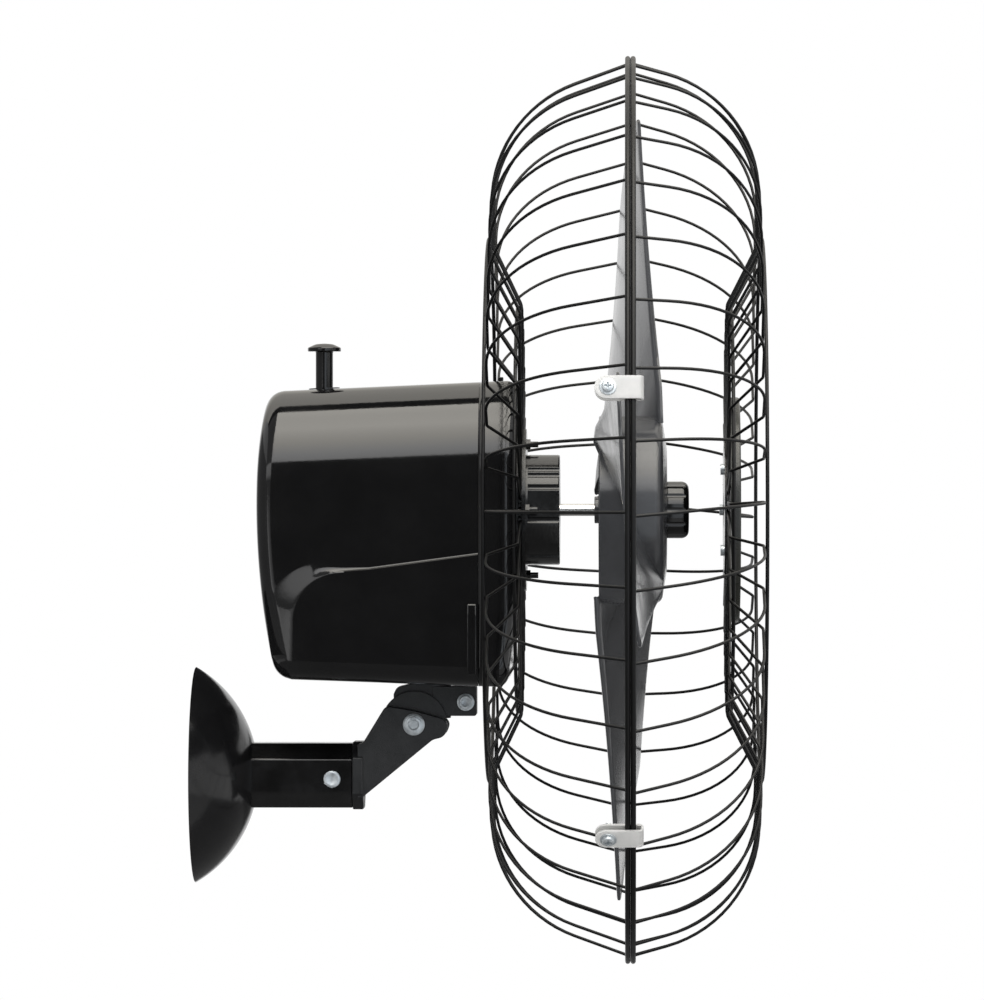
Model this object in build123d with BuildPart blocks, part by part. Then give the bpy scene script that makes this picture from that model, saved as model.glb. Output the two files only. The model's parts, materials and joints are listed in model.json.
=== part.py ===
from build123d import *
import os
from math import atan, cos, exp, pi, radians, sin, tan

# Wall mounted oscillating fan, millimetres. Origin: centre of the canopy's back, on the
# wall. +X leaves the wall along the fan's axis, +Z is up, and -Y is the near side.

# ---- driving dimensions -------------------------------------------------------------
# wall bracket
CANOPY_R = 72.0            # canopy's radius on the wall
CANOPY_SPHERE_R = 83.0     # radius of its domed outside
CANOPY_WALL = 2.4
PLATE_R, PLATE_T = 62.0, 3.0
WALL_HOLE_PCD, WALL_HOLE_R = 98.0, 3.25
CABLE_HOLE_R = 7.0
ARM_SIZE, ARM_CORNER, ARM_WALL = 43.0, 10.5, 2.2
ARM_END = 105.3            # tube meets the knuckle's collar here
COLLAR_END, COLLAR_LIP = 112.6, 1.0
SPIGOT_START = 70.0
ARM_BOLT_X, ARM_BOLT_Z = 92.0, -2.0
CLEVIS_W, CLEVIS_GAP = 43.0, 30.6
CABLE_PASSAGE_R = 9.0      # through the clevis's spigot
M6_R, M6_HOLE_R, M6_ACROSS, M6_NUT_H = 3.0, 3.2, 10.0, 5.0
# tilt pivot
TILT_X, TILT_Z = 146.3, 34.3
TILT_BOLT_R = 4.0
BARREL_R = 15.2
LOBE_R, LOBE_RISE = 22.0, 5.0           # the neck's round back, above the pivot
CLEVIS_CLEARANCE = 0.6
NECK_W = 29.8
# swivel axis
SWIVEL_X = 158.3
STEM_R, STEM_TOP = 12.0, 62.0
SWIVEL_PIN_R, SWIVEL_PIN_TOP = 6.0, 106.0
LUG_END, LUG_Z, LUG_H, LUG_W = 187.7, 49.5, 19.6, 25.0
CLAMP_X, CLAMP_Z = 180.5, 48.9
ANCHOR_R = 16.0            # link's anchor pin stands this far from the swivel axis
# fan axis and motor
AXIS_Z = 176.7
SHAFT_R = 4.0
BELL_R = 61.0
STATOR_R, STATOR_BORE = 58.0, 31.4
ROTOR_R = 31.0
STATOR_START, STATOR_END = 134.0, 174.0
REAR_BELL_BACK = 108.0
BELL_FRONT = 215.0         # motor's front face, where the guard bolts on
BOSS_R, BOSS_END = 36.7, 243.0
# motor housing
SHELL_SPLIT, SHELL_FRONT = 190.3, 215.0
SHELL_TOP_R, SHELL_LOW_R = 60.0, 16.0   # corner radii, seen from the front
SHELL_WALL = 4.2
DOME_R, DOME_Z, SHELL_REAR = 508.0, 180.0, 44.5
# gearbox, under and behind the motor
KNOB_X, KNOB_Y = 85.0, 16.0
WORM_R, WORM_GAP = 4.9, 0.2
CRANK_X, CRANK_Y, CRANK_Z = 110.2, 7.0, 81.0
CRANK_THROW = 10.3
# guard
RIM_X, RIM_R, RIM_WIRE_R = 290.0, 300.0, 1.75
WIRE_R, RING_WIRE_R = 1.0, 1.25
WIRE_COUNT = 40
CROWN_RING_R, RECESS_RING_R = 177.0, 136.7
REAR_DEPTH, REAR_RECESS, REAR_SLOPE = 91.7, 72.6, 20.0
FRONT_DEPTH, FRONT_RECESS, FRONT_SLOPE = 84.9, 64.4, 15.5
GUARD_BEND, DISH_BEND = 83.3, 7.0
FRONT_LEAN = 5.0           # front wires lean this much from the radial plane
REAR_PHASE, FRONT_PHASE = -0.35, -0.85
# blade
BLADE_R, WING_COUNT, WING_X = 270.0, 3, RIM_X - 0.5
HUB_BACK, HUB_FRONT, HUB_R, HUB_WALL = 266.0, 314.3, 62.5, 3.0
HUB_SHOULDER, HUB_FLAT_R = 310.8, 40.0     # the hub's front slopes back a little to its rim

FIT = 0.04                 # radial running clearance of a shaft in its hole
LAY = 0.04                 # gap where wires are laid against each other


def facing_x(x, y=0.0, z=0.0):
    """A plane whose normal is +X: its own axes are +Y and +Z."""
    return Plane(origin=(x, y, z), x_dir=(0, 1, 0), z_dir=(1, 0, 0))


def facing_near(y, x=0.0, z=0.0):
    """A plane whose normal is -Y: its own axes are +X and +Z."""
    return Plane(origin=(x, y, z), x_dir=(1, 0, 0), z_dir=(0, -1, 0))


def facing_up(z, x=0.0, y=0.0):
    """A plane whose normal is +Z: its own axes are +X and +Y."""
    return Plane(origin=(x, y, z), x_dir=(1, 0, 0), z_dir=(0, 0, 1))


def disc(plane, radius, length, mode=Mode.ADD):
    """A cylinder from a plane along its normal, inside the open part."""
    with BuildSketch(plane) as profile:
        Circle(radius)
    extrude(profile.sketch, amount=length, mode=mode)


def save(piece, name):
    """Name a finished piece and write it."""
    piece.part.label = name
    export_step(piece.part, f"parts/{name}.step")


def octagon(size, corner):
    """The arm's section: a square with broad cut corners."""
    Rectangle(size, size)
    chamfer(vertices(), corner)


os.makedirs("parts", exist_ok=True)

# ---- wall bracket -------------------------------------------------------------------
with BuildPart() as wall_plate:
    disc(facing_x(0), PLATE_R, PLATE_T)
    with BuildSketch(facing_x(0)):
        with PolarLocations(WALL_HOLE_PCD / 2, 4, start_angle=45):
            Circle(WALL_HOLE_R)
    extrude(amount=PLATE_T, mode=Mode.SUBTRACT)
    disc(facing_x(0), CABLE_HOLE_R, PLATE_T, Mode.SUBTRACT)
save(wall_plate, "wall_plate")

canopy_centre = -((CANOPY_SPHERE_R**2 - CANOPY_R**2) ** 0.5)
with BuildPart() as canopy:
    with BuildSketch(Plane.XZ):
        with Locations((canopy_centre, 0)):
            Circle(CANOPY_SPHERE_R)
            Circle(CANOPY_SPHERE_R - CANOPY_WALL, mode=Mode.SUBTRACT)
        with Locations((CANOPY_R / 2, CANOPY_R / 2)):
            Rectangle(CANOPY_R, CANOPY_R, mode=Mode.INTERSECT)
    revolve(axis=Axis.X)
    with BuildSketch(facing_x(0)):
        octagon(ARM_SIZE + 0.6, ARM_CORNER)
    extrude(amount=CANOPY_R, mode=Mode.SUBTRACT)
save(canopy, "canopy")

with BuildPart() as arm_tube:
    with BuildSketch(facing_x(PLATE_T)):
        octagon(ARM_SIZE, ARM_CORNER)
        offset(amount=-ARM_WALL, mode=Mode.SUBTRACT)
    extrude(amount=ARM_END - PLATE_T)
    disc(facing_near(ARM_SIZE, ARM_BOLT_X, ARM_BOLT_Z), M6_HOLE_R, 2 * ARM_SIZE, Mode.SUBTRACT)
save(arm_tube, "arm_tube")

cheek_outline = (
    (COLLAR_END - 4, 21.0),
    (COLLAR_END, 22.3),
    (127.6, 46.8),
    (147.0, 43.6),
    (165.4, 38.4),
    (167.4, 37.6),
    (169.0, 31.0),
    (162.6, 24.8),
    (158.9, 24.2),
    (COLLAR_END, -13.8),
    (COLLAR_END - 4, -15.0),
)
with BuildPart() as arm_clevis:
    with BuildSketch(facing_x(SPIGOT_START)):
        octagon(ARM_SIZE - 2 * ARM_WALL - 0.4, ARM_CORNER - 0.5 * ARM_WALL)
    extrude(amount=ARM_END - SPIGOT_START)
    with BuildSketch(facing_x(ARM_END)):
        octagon(ARM_SIZE + 2 * COLLAR_LIP, ARM_CORNER)
    extrude(amount=COLLAR_END - ARM_END)
    with BuildSketch(facing_near(CLEVIS_W / 2)):
        with BuildLine():
            Polyline(*cheek_outline, close=True)
        make_face()
    extrude(amount=CLEVIS_W)
    with BuildSketch(facing_near(CLEVIS_GAP / 2, TILT_X, TILT_Z)):
        Circle(LOBE_R + CLEVIS_CLEARANCE)
        Rectangle(40.0, 2 * LOBE_R, align=(Align.MIN, Align.CENTER))
        Rectangle(60.0, 32.0, align=(Align.CENTER, Align.MIN))
    extrude(amount=CLEVIS_GAP, mode=Mode.SUBTRACT)
    disc(facing_x(SPIGOT_START), CABLE_PASSAGE_R, COLLAR_END - SPIGOT_START + 1.0, Mode.SUBTRACT)
    disc(facing_near(CLEVIS_W, TILT_X, TILT_Z), TILT_BOLT_R + 0.2, 2 * CLEVIS_W, Mode.SUBTRACT)
    disc(facing_near(CLEVIS_W, ARM_BOLT_X, ARM_BOLT_Z), M6_HOLE_R, 2 * CLEVIS_W, Mode.SUBTRACT)
save(arm_clevis, "arm_clevis")


def hex_bolt(name, x, z, half_grip, radius, across, head, washer_r):
    """A bolt along Y with a hexagon on a washer face, head on the near side."""
    with BuildPart() as bolt:
        disc(facing_near(-half_grip, x, z), washer_r, 1.2)
        with BuildSketch(facing_near(-half_grip - 1.2, x, z)):
            RegularPolygon(across / 2, 6, major_radius=False)
        extrude(amount=head)
        disc(facing_near(half_grip + 8.0, x, z), radius, 2 * half_grip + 8.0)
    save(bolt, name)


def hex_nut(name, x, z, half_grip, radius, across, height):
    """The nut at the far end of a bolt along Y."""
    with BuildPart() as nut:
        with BuildSketch(facing_near(half_grip + height, x, z)):
            RegularPolygon(across / 2, 6, major_radius=False)
            Circle(radius, mode=Mode.SUBTRACT)
        extrude(amount=height)
    save(nut, name)


arm_half = ARM_SIZE / 2
hex_bolt("arm_bolt", ARM_BOLT_X, ARM_BOLT_Z, arm_half, M6_R, M6_ACROSS, 3.6, 5.6)
hex_nut("arm_nut", ARM_BOLT_X, ARM_BOLT_Z, arm_half, M6_R, M6_ACROSS, M6_NUT_H)
hex_bolt("tilt_bolt", TILT_X, TILT_Z, CLEVIS_W / 2, TILT_BOLT_R, 11.6, 4.2, 7.25)
hex_nut("tilt_nut", TILT_X, TILT_Z, CLEVIS_W / 2, TILT_BOLT_R, 13.0, 6.5)

# ---- neck, which tilts --------------------------------------------------------------
shoulder_outline = (
    (133.0, 48.0),
    (132.4, 54.1),
    (134.6, 58.7),
    (145.0, 61.3),
    (SWIVEL_X - STEM_R, STEM_TOP),
    (SWIVEL_X + STEM_R, STEM_TOP),
    (SWIVEL_X + STEM_R, 42.0),
    (160.0, 36.0),
)
with BuildPart() as neck_knuckle:
    disc(facing_near(NECK_W / 2, TILT_X, TILT_Z), BARREL_R, NECK_W)
    with BuildSketch(facing_near(NECK_W / 2, TILT_X, TILT_Z)):
        Circle(LOBE_R)
        with Locations((0, LOBE_RISE)):
            Rectangle(2 * LOBE_R, LOBE_R, align=(Align.CENTER, Align.MIN), mode=Mode.INTERSECT)
    extrude(amount=NECK_W)
    with BuildSketch(facing_near(STEM_R)):
        with BuildLine():
            Polyline(*shoulder_outline, close=True)
        make_face()
    extrude(amount=2 * STEM_R)
    with BuildSketch(facing_near(LUG_W / 2)):
        with Locations(((SWIVEL_X + LUG_END) / 2, LUG_Z)):
            Rectangle(LUG_END - SWIVEL_X, LUG_H)
    extrude(amount=LUG_W)
    with BuildSketch(facing_near(1.0)):
        with Locations((LUG_END, LUG_Z)):
            Rectangle(2 * (LUG_END - SWIVEL_X), 2 * LUG_H)
    extrude(amount=2.0, mode=Mode.SUBTRACT)
    disc(facing_up(STEM_TOP, SWIVEL_X, ANCHOR_R), 4.5, -10.0)
    disc(facing_up(STEM_TOP, SWIVEL_X), SWIVEL_PIN_R, -24.0, Mode.SUBTRACT)
    disc(facing_near(LUG_W, CLAMP_X, CLAMP_Z), 3.1, 2 * LUG_W, Mode.SUBTRACT)
    disc(facing_near(NECK_W, TILT_X, TILT_Z), TILT_BOLT_R + FIT, 2 * NECK_W, Mode.SUBTRACT)
    disc(facing_up(STEM_TOP, SWIVEL_X, ANCHOR_R), 2.0, -4.0, Mode.SUBTRACT)
save(neck_knuckle, "neck_knuckle")

with BuildPart() as swivel_pin:
    disc(facing_up(STEM_TOP - 24.0, SWIVEL_X), SWIVEL_PIN_R, SWIVEL_PIN_TOP - STEM_TOP + 24.0)
    chamfer(edges().group_by(Axis.Z)[-1], 0.8)
save(swivel_pin, "swivel_pin")

with BuildPart() as clamp_screw:
    disc(facing_near(-LUG_W / 2, CLAMP_X, CLAMP_Z), 5.8, 1.2)
    disc(facing_near(-LUG_W / 2 - 1.2, CLAMP_X, CLAMP_Z), 4.6, 4.4)
    with BuildSketch(facing_near(-LUG_W / 2 - 2.8, CLAMP_X, CLAMP_Z)):
        RegularPolygon(2.5, 6, major_radius=False)
    extrude(amount=2.8, mode=Mode.SUBTRACT)
    disc(facing_near(LUG_W / 2 + 6.0, CLAMP_X, CLAMP_Z), M6_R, LUG_W + 6.0)
save(clamp_screw, "clamp_screw")
hex_nut("clamp_nut", CLAMP_X, CLAMP_Z, LUG_W / 2, M6_R, M6_ACROSS, M6_NUT_H)

with BuildPart() as link_anchor_pin:
    disc(facing_up(STEM_TOP - 4.0, SWIVEL_X, ANCHOR_R), 2.0, 19.0)
save(link_anchor_pin, "link_anchor_pin")

# ---- motor housing, which swivels ---------------------------------------------------
# seen from the side the roof and the floor spread a little towards the front
ROOF_REAR_Z, ROOF_FRONT_Z = 255.2, 262.6
FLOOR_REAR_Z, FLOOR_FRONT_Z = 66.0, 60.2
SIDE_REAR_Y, SIDE_FRONT_Y = 78.0, 84.5
SHELL_LENGTH = SHELL_FRONT - SHELL_REAR
SHELL_TAB_X = 203.6        # latch tab on the front shell's roof


def along_shell(x, rear, front):
    """A size of the housing at x, between its rear and its front value."""
    return rear + (front - rear) * (x - SHELL_REAR) / SHELL_LENGTH


def shell_section(x, inset=0.0, narrow=0.0):
    """The housing's outline at x, seen from the front: round top, tighter bottom."""
    roof = along_shell(x, ROOF_REAR_Z, ROOF_FRONT_Z) - inset
    floor = along_shell(x, FLOOR_REAR_Z, FLOOR_FRONT_Z) + inset
    side = along_shell(x, SIDE_REAR_Y, SIDE_FRONT_Y) - inset - narrow
    with BuildSketch(facing_x(x, 0, floor)) as outline:
        Rectangle(2 * side, roof - floor, align=(Align.CENTER, Align.MIN))
        low = outline.vertices().group_by(Axis.Y)[0]
        high = outline.vertices().group_by(Axis.Y)[-1]
        fillet(high, SHELL_TOP_R - inset)
        fillet(low, SHELL_LOW_R - inset)
    return outline.sketch


def panel_side(depth, outline):
    """The lower side panel's outline, on a plane laid along the near wall at a depth."""
    slant = atan((SIDE_FRONT_Y - SIDE_REAR_Y) / SHELL_LENGTH)
    wall = Plane(
        origin=(SHELL_REAR, -SIDE_REAR_Y + depth, 0),
        x_dir=(cos(slant), -sin(slant), 0),
        z_dir=(-sin(slant), -cos(slant), 0),
    )
    low_left, left, bend, top, waist, top_right, low_right = outline
    with BuildSketch(wall) as panel:
        with BuildLine():
            Line(low_left, left)
            ThreePointArc(left, bend, top)
            Line(top, waist)
            Line(waist, top_right)
            Line(top_right, low_right)
            Line(low_right, low_left)
        make_face()
    return panel.sketch


# the raised lower side panel: its foot on the wall and its top, along the wall and up from the arm
PANEL_RISE = 2.4
PANEL_RIGHT = SHELL_SPLIT - SHELL_REAR + 2.0
PANEL_LOW = 45.0           # the panel runs down round the housing's lower corner
PANEL_ROOT = 14.0          # how far its block reaches into the wall
panel_foot = ((8, PANEL_LOW), (7, 114), (18, 132), (54, 142), (74, 140.2), (PANEL_RIGHT, 149.6),
              (PANEL_RIGHT, PANEL_LOW))
panel_top = ((22.5, PANEL_LOW), (24, 104), (31, 124), (54, 136), (75, 137.6), (PANEL_RIGHT, 147.6),
             (PANEL_RIGHT, PANEL_LOW))
SIDE_WALL = 3.0
REAR_EDGE_R = 10.0
RIB_ROOT, RIB_OUT = 3.4, 0.8    # the upright rib by the seam, in and out of the front width
roof_slope = atan((ROOF_FRONT_Z - ROOF_REAR_Z) / SHELL_LENGTH)
roof_at_knob = along_shell(KNOB_X, ROOF_REAR_Z, ROOF_FRONT_Z)
roof_plane = Plane(
    origin=(KNOB_X, KNOB_Y, roof_at_knob),
    x_dir=(cos(roof_slope), 0, sin(roof_slope)),
    z_dir=(-sin(roof_slope), 0, cos(roof_slope)),
)


def shell_body(narrow):
    """The rear shell as a full block: a domed back and rounded rear edges."""
    with BuildPart() as body:
        loft([shell_section(SHELL_REAR, 0.0, narrow), shell_section(SHELL_SPLIT, 0.0, narrow)],
             ruled=True)
        with BuildSketch(facing_near(SIDE_FRONT_Y + 1)):
            with Locations((SHELL_REAR + DOME_R, DOME_Z)):
                Circle(DOME_R)
            with Locations((SHELL_REAR + DOME_R / 2, DOME_Z)):
                Rectangle(DOME_R, DOME_R, mode=Mode.INTERSECT)
        extrude(amount=2 * SIDE_FRONT_Y + 2, mode=Mode.INTERSECT)
        fillet(edges().filter_by(lambda e: e.bounding_box().max.X < SHELL_REAR + 22), REAR_EDGE_R)
    return body.part


def raised_panel():
    """The near side's raised panel: sloping edges on a block that reaches into the wall."""
    with BuildPart() as block:
        loft([panel_side(0.0, panel_top), panel_side(PANEL_RISE, panel_foot)], ruled=True)
        extrude(panel_side(PANEL_ROOT, panel_foot), amount=PANEL_ROOT - PANEL_RISE)
    return block.part & shell_body(0.0)


with BuildPart() as shell_hollow:
    hollow_start = SHELL_REAR + 2.0
    hollow_narrow = PANEL_RISE + SIDE_WALL - SHELL_WALL
    loft([shell_section(hollow_start, SHELL_WALL, hollow_narrow),
          shell_section(SHELL_SPLIT, SHELL_WALL, hollow_narrow)], ruled=True)
    with BuildSketch(facing_near(SIDE_FRONT_Y)):
        with Locations((SHELL_REAR + DOME_R, DOME_Z)):
            Circle(DOME_R - SHELL_WALL)
        with Locations((SHELL_REAR + DOME_R / 2, DOME_Z)):
            Rectangle(DOME_R, DOME_R, mode=Mode.INTERSECT)
    extrude(amount=2 * SIDE_FRONT_Y, mode=Mode.INTERSECT)
    fillet(edges().filter_by(lambda e: e.bounding_box().max.X < SHELL_REAR + 22),
           REAR_EDGE_R - SHELL_WALL)

with BuildPart() as rear_shell:
    add(shell_body(PANEL_RISE))
    near_panel = raised_panel()
    add(near_panel)
    add(mirror(near_panel, about=Plane.XZ, mode=Mode.PRIVATE))
    add(shell_hollow.part, mode=Mode.SUBTRACT)
    with BuildSketch(facing_near(-SIDE_FRONT_Y + RIB_ROOT)):
        with Locations((SHELL_SPLIT - 4.0, 92.0)):
            Rectangle(6.0, 46.6)
    extrude(amount=RIB_ROOT + RIB_OUT)
    disc(roof_plane.offset(-12), 8.0, 24, Mode.SUBTRACT)
    disc(facing_up(55, SWIVEL_X), 24.0, 20, Mode.SUBTRACT)
save(rear_shell, "rear_shell")

# the front cover carries on the same outline and turns in to the motor's front face
with BuildPart() as front_shell:
    loft([shell_section(SHELL_SPLIT + 0.2), shell_section(SHELL_FRONT)], ruled=True)
    fillet(edges().group_by(Axis.X)[-1], 7.0)
    loft([shell_section(SHELL_SPLIT + 0.2, SHELL_WALL), shell_section(SHELL_FRONT - 4.0, SHELL_WALL)],
         ruled=True, mode=Mode.SUBTRACT)
    with BuildSketch(facing_near(SIDE_FRONT_Y)):
        with BuildLine():
            Polyline((SHELL_FRONT - 7, 50), (SHELL_FRONT, 110), (SHELL_FRONT + 9, 110),
                     (SHELL_FRONT + 9, 50), close=True)
        make_face()
    extrude(amount=2 * SIDE_FRONT_Y, mode=Mode.SUBTRACT)
    with BuildSketch(facing_up(ROOF_FRONT_Z - 2.0, SHELL_TAB_X)):
        Rectangle(3.4, 10.0)
    extrude(amount=4.6)
    disc(facing_x(SHELL_SPLIT, 0, AXIS_Z), BELL_R + 0.3, 40, Mode.SUBTRACT)
save(front_shell, "front_shell")

with BuildPart() as knob_grommet:
    disc(roof_plane, 10.4, 1.4)
    disc(roof_plane.offset(-SHELL_WALL - 1.0), 7.9, SHELL_WALL + 1.0)
    disc(roof_plane.offset(-SHELL_WALL - 1.0), 6.5, SHELL_WALL + 3.0, Mode.SUBTRACT)
save(knob_grommet, "knob_grommet")

# ---- motor --------------------------------------------------------------------------
motor_bolts = PolarLocations(53.6, 4, start_angle=45)
guard_bolts_at = PolarLocations(43.6, 4, start_angle=0)
WINDING_IN, WINDING_OUT = 35.0, 49.0
BOSS_GROOVES = (43, 51, 66, 100.5, 146)     # degrees down from the top, on both sides
BOSS_FLAT_AT, BOSS_FLAT_R = 83.0, 35.0      # a flat between two of the grooves

with BuildPart() as motor_stator:
    disc(facing_x(STATOR_START, 0, AXIS_Z), STATOR_R, STATOR_END - STATOR_START)
    disc(facing_x(STATOR_START, 0, AXIS_Z), STATOR_BORE, STATOR_END - STATOR_START, Mode.SUBTRACT)
    with BuildSketch(facing_x(STATOR_START, 0, AXIS_Z)):
        with motor_bolts:
            Circle(2.2)
        with PolarLocations(0, 24):
            with Locations((STATOR_BORE + 1.5, 0)):
                Rectangle(6.0, 1.8)
    extrude(amount=STATOR_END - STATOR_START, mode=Mode.SUBTRACT)
save(motor_stator, "motor_stator")

with BuildPart() as stator_windings:
    for start, end in ((STATOR_START - 14.0, STATOR_START), (STATOR_END, STATOR_END + 14.0)):
        with BuildSketch(facing_x(start, 0, AXIS_Z)):
            Circle(WINDING_OUT)
            Circle(WINDING_IN, mode=Mode.SUBTRACT)
        extrude(amount=end - start)
    fillet(edges().filter_by(GeomType.CIRCLE), 4.0)
save(stator_windings, "stator_windings")

with BuildPart() as motor_front_bell:
    disc(facing_x(STATOR_END, 0, AXIS_Z), BELL_R, BELL_FRONT - STATOR_END)
    fillet(edges().group_by(Axis.X)[-1], 3.0)
    disc(facing_x(STATOR_END, 0, AXIS_Z), 51.0, 32.0, Mode.SUBTRACT)
    disc(facing_x(BELL_FRONT, 0, AXIS_Z), BOSS_R, BOSS_END - BELL_FRONT)
    boss_rim = edges().filter_by(GeomType.CIRCLE).group_by(Axis.X)[-1]
    chamfer(boss_rim, 1.2)
    with BuildSketch(facing_x(BELL_FRONT + 7.0, 0, AXIS_Z)):
        for side in (-1, 1):
            for angle in BOSS_GROOVES:
                down = radians(angle)
                with Locations((side * (BOSS_R + 0.6) * sin(down), (BOSS_R + 0.6) * cos(down))):
                    Circle(2.1)
            down = radians(BOSS_FLAT_AT)
            reach = BOSS_FLAT_R + BOSS_R / 2
            spot = Location((side * reach * sin(down), reach * cos(down), 0),
                            (0, 0, 90 - side * BOSS_FLAT_AT))
            with Locations(spot):
                Rectangle(BOSS_R, 2 * BOSS_R)
    extrude(amount=BOSS_END, mode=Mode.SUBTRACT)
    disc(facing_x(STATOR_END, 0, AXIS_Z), 9.0, BOSS_END - STATOR_END - 6.0, Mode.SUBTRACT)
    disc(facing_x(STATOR_END, 0, AXIS_Z), SHAFT_R + 0.6, BOSS_END, Mode.SUBTRACT)
    with BuildSketch(facing_x(STATOR_END, 0, AXIS_Z)):
        with motor_bolts:
            Circle(2.2)
    extrude(amount=20.0, mode=Mode.SUBTRACT)
    with BuildSketch(facing_x(BELL_FRONT, 0, AXIS_Z)):
        with guard_bolts_at:
            Circle(2.0)
    extrude(amount=-9.0, mode=Mode.SUBTRACT)
save(motor_front_bell, "motor_front_bell")

with BuildPart() as motor_rear_bell:
    disc(facing_x(REAR_BELL_BACK, 0, AXIS_Z), BELL_R, STATOR_START - REAR_BELL_BACK)
    fillet(edges().group_by(Axis.X)[0], 3.8)
    disc(facing_x(REAR_BELL_BACK + 7.0, 0, AXIS_Z), 51.0, STATOR_START, Mode.SUBTRACT)
    disc(facing_x(REAR_BELL_BACK + 3.0, 0, AXIS_Z), 13.0, 12.0)
    disc(facing_x(REAR_BELL_BACK - 1.0, 0, AXIS_Z), 9.0, 30.0, Mode.SUBTRACT)
    with BuildSketch(facing_x(REAR_BELL_BACK, 0, AXIS_Z)):
        with motor_bolts:
            Circle(2.2)
    extrude(amount=STATOR_START, mode=Mode.SUBTRACT)
save(motor_rear_bell, "motor_rear_bell")


def bush(name, start, length):
    """A plain sintered bush round the motor's shaft."""
    with BuildPart() as ring:
        disc(facing_x(start, 0, AXIS_Z), 9.0, length)
        disc(facing_x(start, 0, AXIS_Z), SHAFT_R + FIT, length, Mode.SUBTRACT)
    save(ring, name)


bush("front_bush", BOSS_END - 20.0, 14.0)
bush("rear_bush", REAR_BELL_BACK + 1.0, 13.0)

with BuildPart() as motor_bolts_node:
    for location in motor_bolts:
        spot = facing_x(REAR_BELL_BACK, location.position.X, AXIS_Z + location.position.Y)
        disc(spot.offset(-3.0), 3.4, 3.0)
        disc(spot, 2.0, STATOR_END + 18.0 - REAR_BELL_BACK)
save(motor_bolts_node, "motor_through_bolts")

with BuildPart() as run_capacitor:
    with BuildSketch(facing_up(71.0, 92.0, -50.0)):
        RectangleRounded(44.0, 22.0, 3.0)
    extrude(amount=28.0)
save(run_capacitor, "run_capacitor")

# ---- gearbox: worm wheel, clutch, crank and link ------------------------------------
GEARBOX_BACK, GEARBOX_END = 64.0, REAR_BELL_BACK
GEARBOX_LOW, GEARBOX_HIGH = 146.0, 198.0
GEARBOX_SIDE, GEARBOX_FAR = -16.0, 33.0
DECK_Z, DECK_T = 88.0, 4.0
SPINDLE_R, ROD_R = 4.0, 2.4
SLEEVE_R = 8.5
CRANK_POST_R, PIN_R = 3.0, 2.0


def box_between(low, high, mode=Mode.ADD):
    """A block between two corners, inside the open part."""
    (x0, y0, z0), (x1, y1, z1) = low, high
    with BuildSketch(facing_up(z0, (x0 + x1) / 2, (y0 + y1) / 2)) as base:
        Rectangle(x1 - x0, y1 - y0)
    extrude(base.sketch, amount=z1 - z0, mode=mode)


with BuildPart() as gearbox_case:
    box_between((GEARBOX_BACK, GEARBOX_SIDE, GEARBOX_LOW), (GEARBOX_END, GEARBOX_FAR, GEARBOX_HIGH))
    box_between((GEARBOX_BACK + 3, GEARBOX_SIDE + 3, GEARBOX_LOW + 3),
                (GEARBOX_END - 3, GEARBOX_FAR - 3, GEARBOX_HIGH), Mode.SUBTRACT)
    for side in (GEARBOX_SIDE, GEARBOX_FAR - 4.0):
        box_between((GEARBOX_BACK, side, DECK_Z), (GEARBOX_END - 2, side + 4.0, GEARBOX_LOW))
    box_between((GEARBOX_BACK, GEARBOX_SIDE, DECK_Z), (SWIVEL_X, GEARBOX_FAR, DECK_Z + DECK_T))
    disc(facing_up(STEM_TOP + 0.4, SWIVEL_X), SLEEVE_R, SWIVEL_PIN_TOP - STEM_TOP - 2.0)
    disc(facing_up(DECK_Z - 10.0, CRANK_X, CRANK_Y), CRANK_POST_R, 10.0)
    disc(facing_up(STEM_TOP, SWIVEL_X), SWIVEL_PIN_R + FIT, SWIVEL_PIN_TOP, Mode.SUBTRACT)
    disc(facing_up(DECK_Z, KNOB_X, KNOB_Y), SPINDLE_R + FIT, 62.0, Mode.SUBTRACT)
    disc(facing_x(GEARBOX_END - 5, 0, AXIS_Z), WORM_R + 0.4, 8.0, Mode.SUBTRACT)
save(gearbox_case, "gearbox_case")

with BuildPart() as gearbox_cover:
    box_between((GEARBOX_BACK, GEARBOX_SIDE, GEARBOX_HIGH),
                (GEARBOX_END, GEARBOX_FAR, GEARBOX_HIGH + 3.0))
    disc(facing_up(GEARBOX_HIGH, KNOB_X, KNOB_Y), ROD_R + FIT, 3.0, Mode.SUBTRACT)
save(gearbox_cover, "gearbox_cover")


def toothed(plane, tip_r, root_r, count, height):
    """A plain spur wheel on a plane, inside the open part."""
    with BuildSketch(plane) as wheel:
        Circle(root_r)
        with PolarLocations((tip_r + root_r) / 2 - 0.1, count):
            Trapezoid(1.05 * pi * root_r / count, tip_r - root_r + 0.2, 75, rotation=-90)
        Circle(tip_r, mode=Mode.INTERSECT)
    extrude(wheel.sketch, amount=height)


wheel_tip = KNOB_Y - WORM_R - WORM_GAP
with BuildPart() as worm_wheel:
    toothed(facing_up(AXIS_Z - 5.0, KNOB_X, KNOB_Y), wheel_tip, wheel_tip - 1.4, 24, 10.0)
    disc(facing_up(GEARBOX_LOW + 3.3, KNOB_X, KNOB_Y), 6.4, 26.0)
    disc(facing_up(GEARBOX_LOW, KNOB_X, KNOB_Y), SPINDLE_R + FIT, 50.0, Mode.SUBTRACT)
save(worm_wheel, "worm_wheel")

with BuildPart() as pinion_spindle:
    disc(facing_up(DECK_Z - 0.4, KNOB_X, KNOB_Y), SPINDLE_R, 98.0)
    toothed(facing_up(DECK_Z - 9.4, KNOB_X, KNOB_Y), 5.1, 4.0, 12, 9.0)
    disc(facing_up(150.0, KNOB_X, KNOB_Y), ROD_R + FIT, 60.0, Mode.SUBTRACT)
save(pinion_spindle, "pinion_spindle")

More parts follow.
